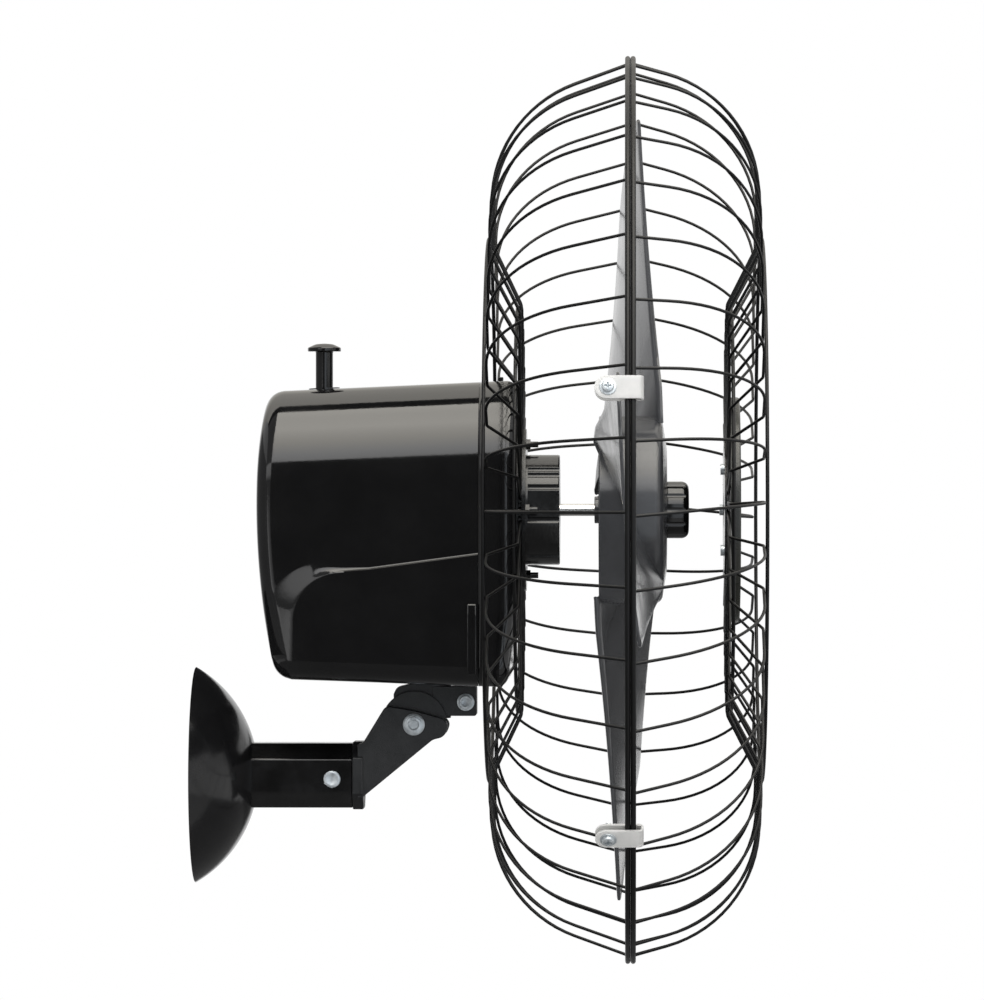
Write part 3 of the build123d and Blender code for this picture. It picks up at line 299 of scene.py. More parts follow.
make_finish("black_plastic", (.0045, .0045, .0048), (.0075, .0075, .0078), (.06, .11),
            grain=25, bump=.05, bump_scale=350)
make_finish("satin_plastic", (.0085, .0085, .0092), (.0125, .0125, .0132), (.13, .20),
            grain=30, bump=.08, bump_scale=350, specular=.4)
make_finish("black_enamel", (.004, .004, .004), (.008, .008, .0085), (.12, .22),
            grain=60, bump=.12, bump_scale=500)
make_finish("black_cast", (.008, .0083, .009), (.014, .0145, .0155), (.28, .42),
            grain=80, bump=.35, bump_scale=1400)
make_finish("zinc_steel", (.46, .50, .53), (.68, .72, .74), (.30, .44),
            metallic=.6, grain=300, bump=.15)
make_finish("bright_steel", (.58, .57, .55), (.74, .73, .71), (.14, .26),
            metallic=1, grain=120, bump=.1, stretch=(9, 1, 1))
make_finish("lamination_steel", (.10, .10, .11), (.22, .22, .23), (.35, .5),
            metallic=1, grain=90, bump=.4, stretch=(14, 1, 1))
make_finish("copper_winding", (.42, .14, .05), (.66, .27, .11), (.25, .4),
            metallic=1, grain=150, bump=.5, stretch=(12, 1, 1))
make_finish("cast_aluminium", (.36, .36, .37), (.52, .52, .53), (.35, .55),
            metallic=1, grain=120, bump=.4)
make_finish("bronze", (.34, .20, .08), (.52, .33, .15), (.3, .45),
            metallic=1, grain=200, bump=.3)
make_finish("white_nylon", (.80, .80, .78), (.90, .89, .87), (.30, .42),
            grain=90, bump=.1, subsurface=.25)
make_finish("badge_olive", (.018, .019, .014), (.030, .031, .024), (.22, .34),
            grain=50, bump=.1)
make_finish("grey_plastic", (.068, .070, .075), (.088, .090, .097), (.13, .20),
            grain=35, bump=.06, bump_scale=500)
make_finish("wire_enamel", (.0025, .0025, .0025), (.0045, .0045, .0048), (.34, .46),
            grain=60, bump=.1, bump_scale=500, specular=.25)
slot_of = {part["node"]: part["material_slot"] for part in frame["record"]["subparts"]}
for node, ob in frame["nodes"].items():
    ob.data.materials.clear()
    ob.data.materials.append(finishes[slot_of[node]])

# ---- wall bracket ----
CANOPY_R, CANOPY_SPHERE_R, CANOPY_WALL = 72.0, 83.0, 2.4
ARM_SIZE, ARM_CORNER, ARM_WALL, ARM_END = 43.0, 10.5, 2.2, 105.3
COLLAR_END, COLLAR_LIP = 112.6, 1.0
CLEVIS_W, CLEVIS_GAP = 43.0, 30.6
CANOPY_HOLE_R, PLATE_T, ARM_EDGE_R, SPIGOT_START = 21.7, 3.0, 3.0, 70.0
canopy_centre = -sqrt(CANOPY_SPHERE_R**2 - CANOPY_R**2)


def dome_profile(sphere_r):
    """Points (x, r) down the dome from the wall to the hole for the arm."""
    start, end = asin(-canopy_centre / sphere_r), asin(sqrt(1 - (CANOPY_HOLE_R / sphere_r) ** 2))
    return [(canopy_centre + sphere_r * sin(a), sphere_r * cos(a))
            for a in stepped(start, end, 40) + [end]]


outside = dome_profile(CANOPY_SPHERE_R)
inside = dome_profile(CANOPY_SPHERE_R - CANOPY_WALL)
piece("canopy_shell", [lathe(outside + inside[::-1], about_bracket, turns=180)],
      "wall_bracket", "satin_plastic", ["canopy"], edge=0.5)


def octagon(size, corner):
    """A square with its corners cut off."""
    h = size / 2
    c = h - corner
    return [(c, -h), (h, -c), (h, c), (c, h), (-c, h), (-h, c), (-h, -c), (-c, -h)]


def tube_row(size, corner, radius, x):
    """The square tube's outline at x."""
    return [(x, p.x, p.y) for p in rounded(octagon(size, corner), radius, step=6)]


bore = ARM_SIZE - 2 * ARM_WALL
bore_corner = ARM_CORNER - (2 - sqrt(2)) * ARM_WALL  # the wall is as thick at the corners
arm_rows = [tube_row(ARM_SIZE, ARM_CORNER, ARM_EDGE_R, PLATE_T),
            tube_row(ARM_SIZE, ARM_CORNER, ARM_EDGE_R, ARM_END - 0.5),
            tube_row(ARM_SIZE - 1.0, ARM_CORNER - .3, ARM_EDGE_R - .2, ARM_END),
            tube_row(bore, bore_corner, 1.0, ARM_END), tube_row(bore, bore_corner, 1.0, PLATE_T)]
piece("arm_tube_skin", [grid(arm_rows, closed=True, loop=True)],
      "wall_bracket", "black_enamel", ["arm_tube"], crease=25)

cheek = rounded(
    [(COLLAR_END - 4, 21.0), (COLLAR_END, 22.3), (127.6, 46.8), (147.0, 43.6),
     (165.4, 38.4), (169.6, 34.5), (166.6, 26.0), (158.9, 24.2),
     (COLLAR_END, -13.8), (COLLAR_END - 4, -15.0)],
    [2, 2, 5, 30, 4, 5, 7, 8, 3, 0])
web = rounded(
    [(COLLAR_END - 2, 21.0), (COLLAR_END, 22.3), (123.0, 39.5), (124.5, 30.0),
     (126.0, 22.0), (130.0, 14.0), (134.5, 4.5), (COLLAR_END, -13.0),
     (COLLAR_END - 2, -14.0)],
    [0, 0, 1.5, 6, 10, 10, 2, 3, 0])
collar = rounded(octagon(ARM_SIZE + 2 * COLLAR_LIP, ARM_CORNER), 1.8, step=12)
spigot = rounded(octagon(bore - 0.4, bore_corner), 1.0, step=12)
gap, half_w = CLEVIS_GAP / 2, CLEVIS_W / 2
piece("clevis_casting",
      [prism(cheek, from_side, -half_w, -gap), prism(cheek, from_side, gap, half_w),
       prism(web, from_side, -gap - 0.5, gap + 0.5),
       prism(collar, from_front, ARM_END, COLLAR_END),
       prism(spigot, from_front, SPIGOT_START, ARM_END + 1)],
      "wall_bracket", "black_cast", ["arm_clevis"], edge=0.9)


# ---- fasteners ----
M4_R, M4_APOTHEM, M4_NUT_H = 2.0, 3.5, 3.2
M6_R, M6_APOTHEM, M6_NUT_H = 3.0, 5.0, 5.0
M8_R, M8_APOTHEM, M8_NUT_H, M8_PITCH = 4.0, 6.5, 6.5, 1.25
WASHER_T, THREAD_OUT = 1.2, 8.0  # a washer face's thickness, a bolt's length past its seat
ARM_WASHER_R, ARM_HEAD_H = 5.6, 4.8
FLANGE_R, TILT_APOTHEM, TILT_HEAD_H = 7.25, 5.0, 5.4
HEAD_TURNS, FACE, DISH_RIM, DISH_FLOOR = 72, 0.95, 0.72, 0.55  # radii over the apothem


def hexagon_radius(apothem, a):
    """The radius of a hexagon at an angle."""
    return apothem / cos((a + pi / 6) % (pi / 3) - pi / 6)


def hexagon(apothem, start, end, place, dish=0.0, both=False):
    """A hexagon head, or a nut with both ends chamfered; dish hollows its face."""
    face_r = FACE * apothem

    def profile_at(a):
        r = hexagon_radius(apothem, a)
        drop = (r - face_r) * tan(radians(30))
        seat = [(start, face_r), (start + drop, r)] if both else [(start, r)]
        return [(start, 0.0)] + seat + [(end - drop, r), (end, face_r), (end, DISH_RIM * apothem),
                                        (end - dish, DISH_FLOOR * apothem), (end - dish, 0.0)]

    return turned(profile_at, place, HEAD_TURNS)


def pin(radius, start, end, place, turns=96):
    """A plain round pin."""
    return lathe([(start, 0), (start, radius), (end, radius), (end, 0)], place, turns=turns)


def threaded(radius, start, end, place, pitch=1.0):
    """A bolt's end with its ridges and a small chamfer."""
    profile = [(start, 0.0), (start, radius)]
    for k in range(int((end - start - 0.8) / pitch)):
        x = start + k * pitch
        profile += [(x + 0.15 * pitch, radius), (x + 0.5 * pitch, radius - 0.5 * pitch)]
    profile += [(end - 0.7, radius), (end, radius - 0.7), (end, 0.0)]
    return lathe(profile, place, turns=32)


def round_plate(radius, start, end, place):
    """A disc with a softened outer edge."""
    soft, bit = 0.4, 0.12
    return lathe([(start, 0.0), (start, radius), (end - soft, radius), (end - bit, radius - bit),
                  (end, radius - soft), (end, 0.0)], place, turns=64)


half_arm = ARM_SIZE / 2
near_arm, far_arm = cross_bolt(ARM_BOLT_X, ARM_BOLT_Z)
piece("arm_hex_bolt",
      [round_plate(ARM_WASHER_R, half_arm, half_arm + WASHER_T, near_arm),
       hexagon(M6_APOTHEM, half_arm + 1.0, half_arm + ARM_HEAD_H, near_arm, dish=0.5),
       threaded(M6_R, half_arm - 1.0, half_arm + THREAD_OUT, far_arm)],
      "wall_bracket", "zinc_steel", ["arm_bolt"])
piece("arm_hex_nut", [hexagon(M6_APOTHEM, half_arm, half_arm + M6_NUT_H, far_arm, both=True)],
      "wall_bracket", "zinc_steel", ["arm_nut"])
near_tilt, far_tilt = cross_bolt(TILT_X, TILT_Z)
flange = [(half_w, 0), (half_w, FLANGE_R), (half_w + .7, FLANGE_R), (half_w + 1.2, 6.6),
          (half_w + 1.7, 5.4), (half_w + 1.7, 0)]
piece("tilt_hex_bolt",
      [lathe(flange, near_tilt),
       hexagon(TILT_APOTHEM, half_w + 1.0, half_w + TILT_HEAD_H, near_tilt, dish=0.8),
       threaded(M8_R, half_w - 1.0, half_w + THREAD_OUT, far_tilt, pitch=M8_PITCH),
       pin(M8_R, -half_w, half_w, near_tilt)],
      "wall_bracket", "zinc_steel", ["tilt_bolt"])
piece("tilt_hex_nut", [hexagon(M8_APOTHEM, half_w, half_w + M8_NUT_H, far_tilt, both=True)],
      "wall_bracket", "zinc_steel", ["tilt_nut"])

# ---- neck ----
NECK_W, STEM_R, STEM_TOP, LOBE_R, BARREL_R = 29.8, 12.0, 62.0, 22.0, 15.2
LUG_END, LUG_Z, LUG_H, LUG_W = 187.7, 49.5, 19.6, 25.0
LUG_GAP, ANCHOR_R, ANCHOR_BOSS_R, STEM_LOW, ANCHOR_LOW = 1.0, 16.0, 4.5, 38.0, 52.0
CAP_WASHER_R, CAP_R, CAP_H, SOCKET_APOTHEM, SOCKET_DEPTH = 5.8, 4.6, 5.6, 2.5, 2.8


def round_tilt(radius, degrees_up):
    """Points of an outline round the tilt bolt."""
    return [(TILT_X + radius * cos(radians(a)), TILT_Z + radius * sin(radians(a)))
            for a in degrees_up]


lobe = round_tilt(LOBE_R, range(14, 167, 6)) + round_tilt(BARREL_R, range(176, 365, 8))
shoulder = rounded(
    [(133.0, 46.0), (132.4, 54.1), (134.6, 58.7), (145.0, 61.3), (147.0, STEM_TOP),
     (SWIVEL_X, STEM_TOP), (SWIVEL_X, 42.0), (150.0, 36.0)],
    [1, 4, 4, 6, 1, 0, 1, 1])
lug = rounded(
    [(SWIVEL_X, LUG_Z - LUG_H / 2), (LUG_END, LUG_Z - LUG_H / 2),
     (LUG_END, LUG_Z + LUG_H / 2), (SWIVEL_X, LUG_Z + LUG_H / 2)], [0, 1.6, 1.6, 0])
piece("neck_casting",
      [prism(lobe, from_side, -NECK_W / 2, NECK_W / 2),
       prism(shoulder, from_side, -STEM_R, STEM_R),
       lathe([(STEM_LOW, 0), (STEM_LOW, STEM_R), (STEM_TOP - .5, STEM_R),
              (STEM_TOP, STEM_R - .5), (STEM_TOP, 0)], about_z(SWIVEL_X, 0)),
       prism(lug, from_side, -LUG_W / 2, -LUG_GAP),
       prism(lug, from_side, LUG_GAP, LUG_W / 2),
       pin(ANCHOR_BOSS_R, ANCHOR_LOW, STEM_TOP, about_z(SWIVEL_X, ANCHOR_R), turns=32)],
      "neck", "black_cast", ["neck_knuckle"], edge=0.8)


def socket_head(radius, start, end, place, apothem, depth):
    """A cap screw's head with a hexagonal socket."""
    def profile_at(a):
        s = hexagon_radius(apothem, a)
        return [(start, 0), (start, radius), (end - .6, radius), (end, radius - .6), (end, s + .3),
                (end - .3, s), (end - depth, s), (end - depth - .6, 0)]

    return turned(profile_at, place, HEAD_TURNS)


near_clamp, far_clamp = cross_bolt(CLAMP_X, CLAMP_Z)
half_lug = LUG_W / 2
piece("clamp_cap_screw",
      [round_plate(CAP_WASHER_R, half_lug, half_lug + WASHER_T, near_clamp),
       socket_head(CAP_R, half_lug + 1.0, half_lug + CAP_H, near_clamp,
                   SOCKET_APOTHEM, SOCKET_DEPTH),
       threaded(M6_R, half_lug - 1, half_lug + 6, far_clamp),
       pin(M6_R, -half_lug, half_lug, near_clamp, turns=32)],
      "neck", "zinc_steel", ["clamp_screw"])
piece("clamp_hex_nut",
      [hexagon(M6_APOTHEM, half_lug, half_lug + M6_NUT_H, far_clamp, both=True)],
      "neck", "zinc_steel", ["clamp_nut"])

# ---- motor housing ----
# half width, roof and floor, each at the rear and at the front
SIDE, ROOF, FLOOR = (78.0, 84.5), (255.2, 262.6), (66.0, 60.2)
TOP_R, LOW_R, EDGE_R, FRONT_R = 60.0, 16.0, 10.0, 7.0
DOME_R, DOME_Z = 508.0, 180.0
SHELL_WALL, SEAM_GAP, CREASE = 3.0, 0.3, 60.0
LENGTH_STEPS, FRONT_STEPS, FLOOR_STEPS, ROOF_STEPS, LOW_STEPS, TOP_STEPS = 100, 10, 8, 4, 10, 30
# the raised lower panel, in x from the housing's rear and z; its edge slopes from foot to top
PANEL_RISE, PANEL_LOW, PANEL_HIGH = 2.4, 45.0, 152.0
PANEL_RIGHT = SHELL_SPLIT - SHELL_REAR + 2.0
PANEL_EDGE_FOOT = [(54, 142), (74, 140.2), (PANEL_RIGHT, 149.6)]
PANEL_EDGE_TOP = [(54, 136), (75, 137.6), (PANEL_RIGHT, 147.6)]
# the sloping edge is hollow by a power, which grows from the rear to the upper side
BEVEL_REAR, BEVEL_UPPER, BEVEL_TURN_X, BEVEL_TURN_L = 1.25, 4.5, 38.0, 20.0


def along_shell(x, size):
    """A size of the housing at x, between its rear and its front value."""
    rear, front = size
    return rear + (front - rear) * (x - SHELL_REAR) / (SHELL_FRONT - SHELL_REAR)


def wall_heights(x, base, top):
    """Heights up the straight side wall, close together on the panel's upper edge."""
    low, high = (float(interp(x - SHELL_REAR, *zip(*edge)))
                 for edge in (PANEL_EDGE_TOP, PANEL_EDGE_FOOT))
    return stepped(base, low, 56) + stepped(low, high, 14) + stepped(high, top, 50)


def housing_at(x, inset=0.0):
    """The housing's section at x as (y, z), from the floor's middle round the near side."""
    side, roof = along_shell(x, SIDE) - inset, along_shell(x, ROOF) - inset
    floor = along_shell(x, FLOOR) + inset
    top, low = max(TOP_R - inset, 0.5), max(LOW_R - inset, 0.5)
    half = [(-y, floor) for y in stepped(0.0, side - low, FLOOR_STEPS)]
    half += [(-(side - low) - low * sin(a), floor + low - low * cos(a))
             for a in stepped(0.0, pi / 2, LOW_STEPS)]
    half += [(-side, z) for z in wall_heights(x, floor + low, roof - top)]
    half += [(-(side - top) - top * cos(a), roof - top + top * sin(a))
             for a in stepped(0.0, pi / 2, TOP_STEPS)]
    half += [(-y, roof) for y in stepped(side - top, 0.0, ROOF_STEPS)]
    return half + [(0.0, roof)] + [(-y, z) for y, z in half[:0:-1]]


def arc_through(a, b, c):
    """Points on the circle from a through b to c."""
    a, b, c = Vector(a), Vector(b), Vector(c)
    d = 2 * (a.x * (b.y - c.y) + b.x * (c.y - a.y) + c.x * (a.y - b.y))
    sa, sb, sc = a.length_squared, b.length_squared, c.length_squared
    centre = Vector((sa * (b.y - c.y) + sb * (c.y - a.y) + sc * (a.y - b.y),
                     sa * (c.x - b.x) + sb * (a.x - c.x) + sc * (b.x - a.x))) / d
    return swept(centre, a - centre, -(a - centre).angle(c - centre), 24)


def panel_line(low_left, left, bend, edge):
    """The panel's outline from its lower right corner round the rear to the seam."""
    low = [Vector((PANEL_RIGHT, PANEL_LOW)), Vector((low_left, PANEL_LOW))]
    return low + arc_through(left, bend, edge[0]) + [Vector(p) for p in edge[1:]]


panel_foot = panel_line(8, (7, 114), (18, 132), PANEL_EDGE_FOOT)
panel_top = panel_line(22.5, (24, 104), (31, 124), PANEL_EDGE_TOP)


def distance_to(line, p):
    """How far a point lies from a line of points."""
    found = []
    for a, b in zip(line, line[1:]):
        ab = b - a
        t = min(1.0, max(0.0, (p - a).dot(ab) / ab.length_squared))
        found.append((p - a - ab * t).length)
    return min(found)


def inside_of(line, p):
    """Whether a point lies inside a closed line of points."""
    hit = False
    for a, b in zip(line, line[1:] + line[:1]):
        if (a.y > p.y) != (b.y > p.y) and p.x < a.x + (p.y - a.y) / (b.y - a.y) * (b.x - a.x):
            hit = not hit
    return hit


def panel_rise(x, z):
    """How far the lower side panel stands out of the wall at a point, from 0 to 1."""
    p = Vector((x - SHELL_REAR, z))
    if z > PANEL_HIGH or not inside_of(panel_foot, p):
        return 0.0
    if inside_of(panel_top, p):
        return 1.0
    out, into = distance_to(panel_foot[1:], p), distance_to(panel_top[1:], p)
    on_top = min(1.0, max(0.0, (p.x - BEVEL_TURN_X) / BEVEL_TURN_L))
    return (out / (out + into)) ** (BEVEL_REAR + (BEVEL_UPPER - BEVEL_REAR) * on_top)


def on_rear_shell(x, y, z):
    """A point of the full housing, drawn in to the side walls beside the panel."""
    inward = PANEL_RISE * (1 - panel_rise(x, z))
    reach = min(1.0, abs(y) / (along_shell(x, SIDE) - TOP_R))
    return x, y - (inward if y > 0 else -inward) * reach, z


def wall_rows(start, ends, count):
    """Rows of points on the housing's walls, from start to the end of each column."""
    rows = []
    for part in stepped(0.0, 1.0, count) + [1.0]:
        xs = [start + (end - start) * part for end in ends]
        rows.append([(x, *housing_at(x)[c]) for c, x in enumerate(xs)])
    return rows


def rounding(radius):
    """Steps round an edge: how far each is in from the wall and short of the face."""
    turns = stepped(0.0, pi / 2, 8)[1:] + [pi / 2]
    return [(radius * (1 - cos(a)), radius * (1 - sin(a))) for a in turns]


def dome_x(z):
    """The domed back's place at a height."""
    return SHELL_REAR + DOME_R - sqrt(DOME_R**2 - (z - DOME_Z) ** 2)


ENDS_X, BACK_X = SHELL_REAR + 15.0, SHELL_REAR + 12.0  # where the back's outlines are taken
BACK_INSETS, BACK_MIDDLE_Z = (11.5, 13.0, 15.4), 160.0
BACK_SCALES = (0.92, 0.8, 0.65, 0.5, 0.35, 0.2, 0.08, 0.0)


def rear_shell_rows():
    """The rear shell from the seam: its walls, its rounded edge and the back to its middle."""
    ends = [dome_x(z) + EDGE_R for _, z in housing_at(ENDS_X)]
    rows = [[on_rear_shell(*p) for p in row] for row in wall_rows(SHELL_SPLIT, ends, LENGTH_STEPS)]
    for inset, short in rounding(EDGE_R) + [(inset, 0.0) for inset in BACK_INSETS]:
        rows.append([on_rear_shell(dome_x(z) + short, y, z)
                     for y, z in housing_at(BACK_X, inset)])
    last = rows[-1]
    for scale in BACK_SCALES:
        heights = [BACK_MIDDLE_Z + (z - BACK_MIDDLE_Z) * scale for _, _, z in last]
        rows.append([(dome_x(z), y * scale, z) for (_, y, _), z in zip(last, heights)])
    return rows


rear_half = piece("housing_rear", [grid(rear_shell_rows(), closed=True)], "head",
                  "black_plastic", ["rear_shell"], crease=CREASE, wall=SHELL_WALL)
bore_upright(rear_half, SWIVEL_X, radius=24.0, low=55.0, high=75.0, crease=CREASE)

RIB_IN, RIB_OUT, RIB_LOW, RIB_HIGH = -81.1, -85.3, 68.7, 115.3
RIB_CUT_Y, RIB_CUT_Z = 0.7, 0.9
rib_outline = [
    (RIB_IN, RIB_LOW), (RIB_OUT + RIB_CUT_Y, RIB_LOW), (RIB_OUT, RIB_LOW + RIB_CUT_Z),
    (RIB_OUT, RIB_HIGH - RIB_CUT_Z), (RIB_OUT + RIB_CUT_Y, RIB_HIGH), (RIB_IN, RIB_HIGH)]
piece("housing_rib",
      [prism(rib_outline, from_front, SHELL_SPLIT - 7.0, SHELL_SPLIT - 1.0)],
      "head", "black_plastic", ["rear_shell"], edge=0.7)

LEAN_TOP_Z, LEAN_H, LEAN_BACK, BELL_HOLE_R = 110.0, 60.0, 7.0, 61.3


def front_x(z):
    """The front face stands straight, and leans back below the motor."""
    return SHELL_FRONT - LEAN_BACK * max(0.0, LEAN_TOP_Z - z) / LEAN_H


def front_shell_rows():
    """The front shell from the seam: its walls, its rounded edge and the face to the bell."""
    edge_x = SHELL_FRONT - FRONT_R
    ends = [front_x(z) - FRONT_R for _, z in housing_at(edge_x)]
    rows = wall_rows(SHELL_SPLIT + SEAM_GAP, ends, FRONT_STEPS)
    for inset, short in rounding(FRONT_R):
        rows.append([(front_x(z) - short, y, z) for y, z in housing_at(edge_x, inset)])
    last = rows[-1]
    for part in (0.25, 0.5, 0.75, 1.0):
        row = []
        for _, y, z in last:
            away = hypot(y, z - AXIS_Z)
            scale = (away + (BELL_HOLE_R - away) * part) / away
            height = AXIS_Z + (z - AXIS_Z) * scale
            row.append((front_x(height), y * scale, height))
        rows.append(row)
    return rows


piece("housing_front", [grid(front_shell_rows(), closed=True)], "head", "black_plastic",
      ["front_shell"], crease=CREASE, wall=SHELL_WALL)
TAB_REAR, TAB_FRONT, TAB_LOW, TAB_TOP, TAB_W = 201.9, 205.3, 260.6, 265.2, 10.0
tab_outline = [(TAB_REAR, TAB_LOW), (TAB_FRONT, TAB_LOW), (TAB_FRONT, TAB_TOP), (TAB_REAR, TAB_TOP)]
piece("latch_tab", [prism(tab_outline, from_side, -TAB_W / 2, TAB_W / 2)], "head",
      "black_plastic", ["front_shell"], edge=0.5)

# ---- oscillation knob ----
KNOB_TOP, KNOB_UNDER, KNOB_R, KNOB_STEM_R, KNOB_STEM_LOW = 288.3, 282.7, 11.15, 5.8, 232.0
knob_profile = rounded(
    [(KNOB_STEM_LOW, 0), (KNOB_STEM_LOW, KNOB_STEM_R), (KNOB_UNDER, KNOB_STEM_R),
     (KNOB_UNDER, KNOB_R), (KNOB_UNDER + 2.6, KNOB_R), (KNOB_TOP - 0.6, 6.0),
     (KNOB_TOP, 0)], [0, 0.3, 0.8, 0.7, 1.0, 8, 0])
piece("knob_turned", [lathe(knob_profile, about_z(KNOB_X, KNOB_Y))], "knob", "black_plastic",
      ["oscillation_knob"], crease=40)

# ---- motor front ----
BELL_BACK, BELL_FRONT, BELL_R, SHAFT_HOLE_R = 196.0, 215.0, 61.0, 5.0
BOSS_R, BOSS_STEP, BOSS_END, BOSS_PLAIN_R = 36.7, 222.0, 243.0, 30.0
BOSS_GROOVES, BOSS_GROOVE_AT, BOSS_GROOVE_R = (43, 51, 66, 100.5, 146), BOSS_R + 0.6, 2.1
BOSS_FLAT_AT, BOSS_FLAT_R, BOSS_FLAT_TURN = 83.0, 35.0, 0.6
SPINNER_GROOVES, SPINNER_GROOVE_AT, SPINNER_GROOVE_R = 12, 19.6, 1.6
groove_turns = [radians(90 - side * down) for side in (-1, 1) for down in BOSS_GROOVES]
flat_turns = [radians(90 - side * BOSS_FLAT_AT) for side in (-1, 1)]


def between(a, b):
    """The angle between two directions, from -pi to pi."""
    return (a - b + pi) % (2 * pi) - pi


def round_flute(r, off, centre_r, cut_r):
    """The radius left by a round groove whose middle is at centre_r, at an angle off it."""
    half_gap = cut_r**2 - (centre_r * sin(off)) ** 2
    if abs(off) > pi / 2 or half_gap <= 0:
        return r
    return min(r, centre_r * cos(off) - sqrt(half_gap))


def boss_radius(r, a):
    """The boss with its ten grooves and two flats."""
    if r < BOSS_PLAIN_R:
        return r
    for turn in groove_turns:
        r = round_flute(r, between(a, turn), BOSS_GROOVE_AT, BOSS_GROOVE_R)
    for turn in flat_turns:
        off = between(a, turn)
        if abs(off) < BOSS_FLAT_TURN:
            r = min(r, BOSS_FLAT_R / cos(off))
    return r


def spinner_radius(r, a):
    """The spinner nut's grooves."""
    pitch = 2 * pi / SPINNER_GROOVES
    off = (a + pitch / 2) % pitch - pitch / 2
    return round_flute(r, off, SPINNER_GROOVE_AT, SPINNER_GROOVE_R)


bell_face = rounded(
    [(BELL_BACK, 40), (BELL_BACK, BELL_R), (BELL_FRONT, BELL_R),
     (BELL_FRONT, BOSS_R - 1)], [0, .5, 3, 0])
boss_foot = [(BELL_FRONT - 1, SHAFT_HOLE_R), (BELL_FRONT - 1, BOSS_R), (BOSS_STEP, BOSS_R),
             (BOSS_STEP, SHAFT_HOLE_R)]
boss_face = rounded(
    [(BOSS_STEP - 1, SHAFT_HOLE_R), (BOSS_STEP - 1, BOSS_R), (BOSS_END, BOSS_R),
     (BOSS_END, 12.0), (BOSS_END - 2.5, 10.0), (BOSS_END - 2.5, SHAFT_HOLE_R)],
    [0, 0, 1.2, .8, .8, 0])
piece("motor_bell_front",
      [lathe(bell_face, about_fan, turns=144), lathe(boss_foot, about_fan, turns=144),
       lathe(boss_face, about_fan, turns=720, radius=boss_radius)],
      "head", "black_enamel", ["motor_front_bell"], crease=40)

# ---- guard ----
WIRE_R, RING_WIRE_R, LAY, WIRE_COUNT = 1.0, 1.25, 0.04, 40
CROWN_RING_R, RECESS_RING_R = 177.0, 136.7  # where the wires bend
CROWN_RING_OUT, RECESS_RING_IN = 3.5, 2.1  # how far from the bends the two rings lie
REAR_PHASE, FRONT_PHASE = -0.35, -0.85
REAR_DEPTH, REAR_RECESS, REAR_SLOPE, REAR_END = 91.7, 72.6, 20.0, 47.5
FRONT_DEPTH, FRONT_RECESS, FRONT_SLOPE, FRONT_END = 84.9, 64.4, 15.5, 36.0
GUARD_BEND, DISH_BEND = 83.3, 7.0
FRONT_LEAN = radians(5.0)
WIRE_TIP_A, WIRE_TIP_R = 1.2, 297.1


def wire_line(turn, forward, depth, recess, slope, inner, lean=0.0):
    """One radial wire: in from the rim, round the shoulder, down the dished face."""
    depth, recess = depth / cos(lean), recess / cos(lean)
    bend_r = WIRE_TIP_R - (depth - WIRE_TIP_A) * tan(radians(slope))
    flat = rounded([(WIRE_TIP_R, WIRE_TIP_A), (bend_r, depth), (CROWN_RING_R, depth),
                    (RECESS_RING_R, recess), (inner, recess)],
                   [0, GUARD_BEND, DISH_BEND, DISH_BEND, 0], step=5.0)
    out, around = Vector((0, -cos(turn), sin(turn))), Vector((0, sin(turn), cos(turn)))
    push = Vector((forward * cos(lean), 0, 0)) + around * sin(lean)
    return [Vector((RIM_X, 0, AXIS_Z)) + out * p.x + push * p.y for p in flat]


def guard_wires(phase, *shape):
    """All the radial wires of one half."""
    return [wire_line(radians(phase + k * 360 / WIRE_COUNT), *shape) for k in range(WIRE_COUNT)]


def ring_line(x, radius, count=240):
    """Points of a ring about the fan's axis."""
    return [(x, radius * sin(a), AXIS_Z + radius * cos(a)) for a in stepped(0, 2 * pi, count)]


wires("guard_wires_rear",
      guard_wires(REAR_PHASE, -1, REAR_DEPTH, REAR_RECESS, REAR_SLOPE, REAR_END),
      WIRE_R, ["rear_guard_wires"])
wires("guard_wires_front",
      guard_wires(FRONT_PHASE, 1, FRONT_DEPTH, FRONT_RECESS, FRONT_SLOPE, FRONT_END, FRONT_LEAN),
      WIRE_R, ["front_guard_wires"])
ring_gap = WIRE_R + RING_WIRE_R + LAY
rim_offset = RIM_WIRE_R + LAY / 2
rim_line_r = RIM_R - 0.02  # a hair inside the solid rim
for half, way, depth, recess in (("rear", -1, REAR_DEPTH, REAR_RECESS),
                                 ("front", 1, FRONT_DEPTH, FRONT_RECESS)):
    node = half + "_guard_rings"
    wires("guard_rim_" + half, [ring_line(RIM_X + way * rim_offset, rim_line_r, 360)],
          RIM_WIRE_R, [node], cyclic=True, sides=4)
    wires("guard_rings_" + half,
          [ring_line(RIM_X + way * (depth + ring_gap), CROWN_RING_R + CROWN_RING_OUT),
           ring_line(RIM_X + way * (recess + ring_gap), RECESS_RING_R - RECESS_RING_IN)],
          RING_WIRE_R, [node], cyclic=True)

# ---- blade ----
BLADE_R, WING_COUNT, WING_X, WING_TURN = 270.0, 3, RIM_X - 0.5, 30.0
WING_PITCH, PITCH_FALL = 0.63, 123.0  # slope at the axis, the length it fades over
WING_CHORD, CHORD_GROWTH, WING_ACROSS, TIP_FROM = 45.0, 0.165, 26, 250.0
WING_T, WING_THINNING, NOSE_L = 4.2, 1.8, 1.8
CAMBER, CAMBER_MARGIN, TIP_ROUND_FROM, TIP_ROUND_L = 0.03, 9.0, BLADE_R - 2.4, 1.7
HUB_BACK, HUB_FRONT, HUB_R, HUB_BOSS_R, HUB_WALL = 266.0, 314.3, 62.5, 13.0, 3.0
HUB_SHOULDER, HUB_FLAT_R, HUB_BORE_R = 310.8, 40.0, 9.0
SPINNER_R, SPINNER_L = 19.0, 14.6


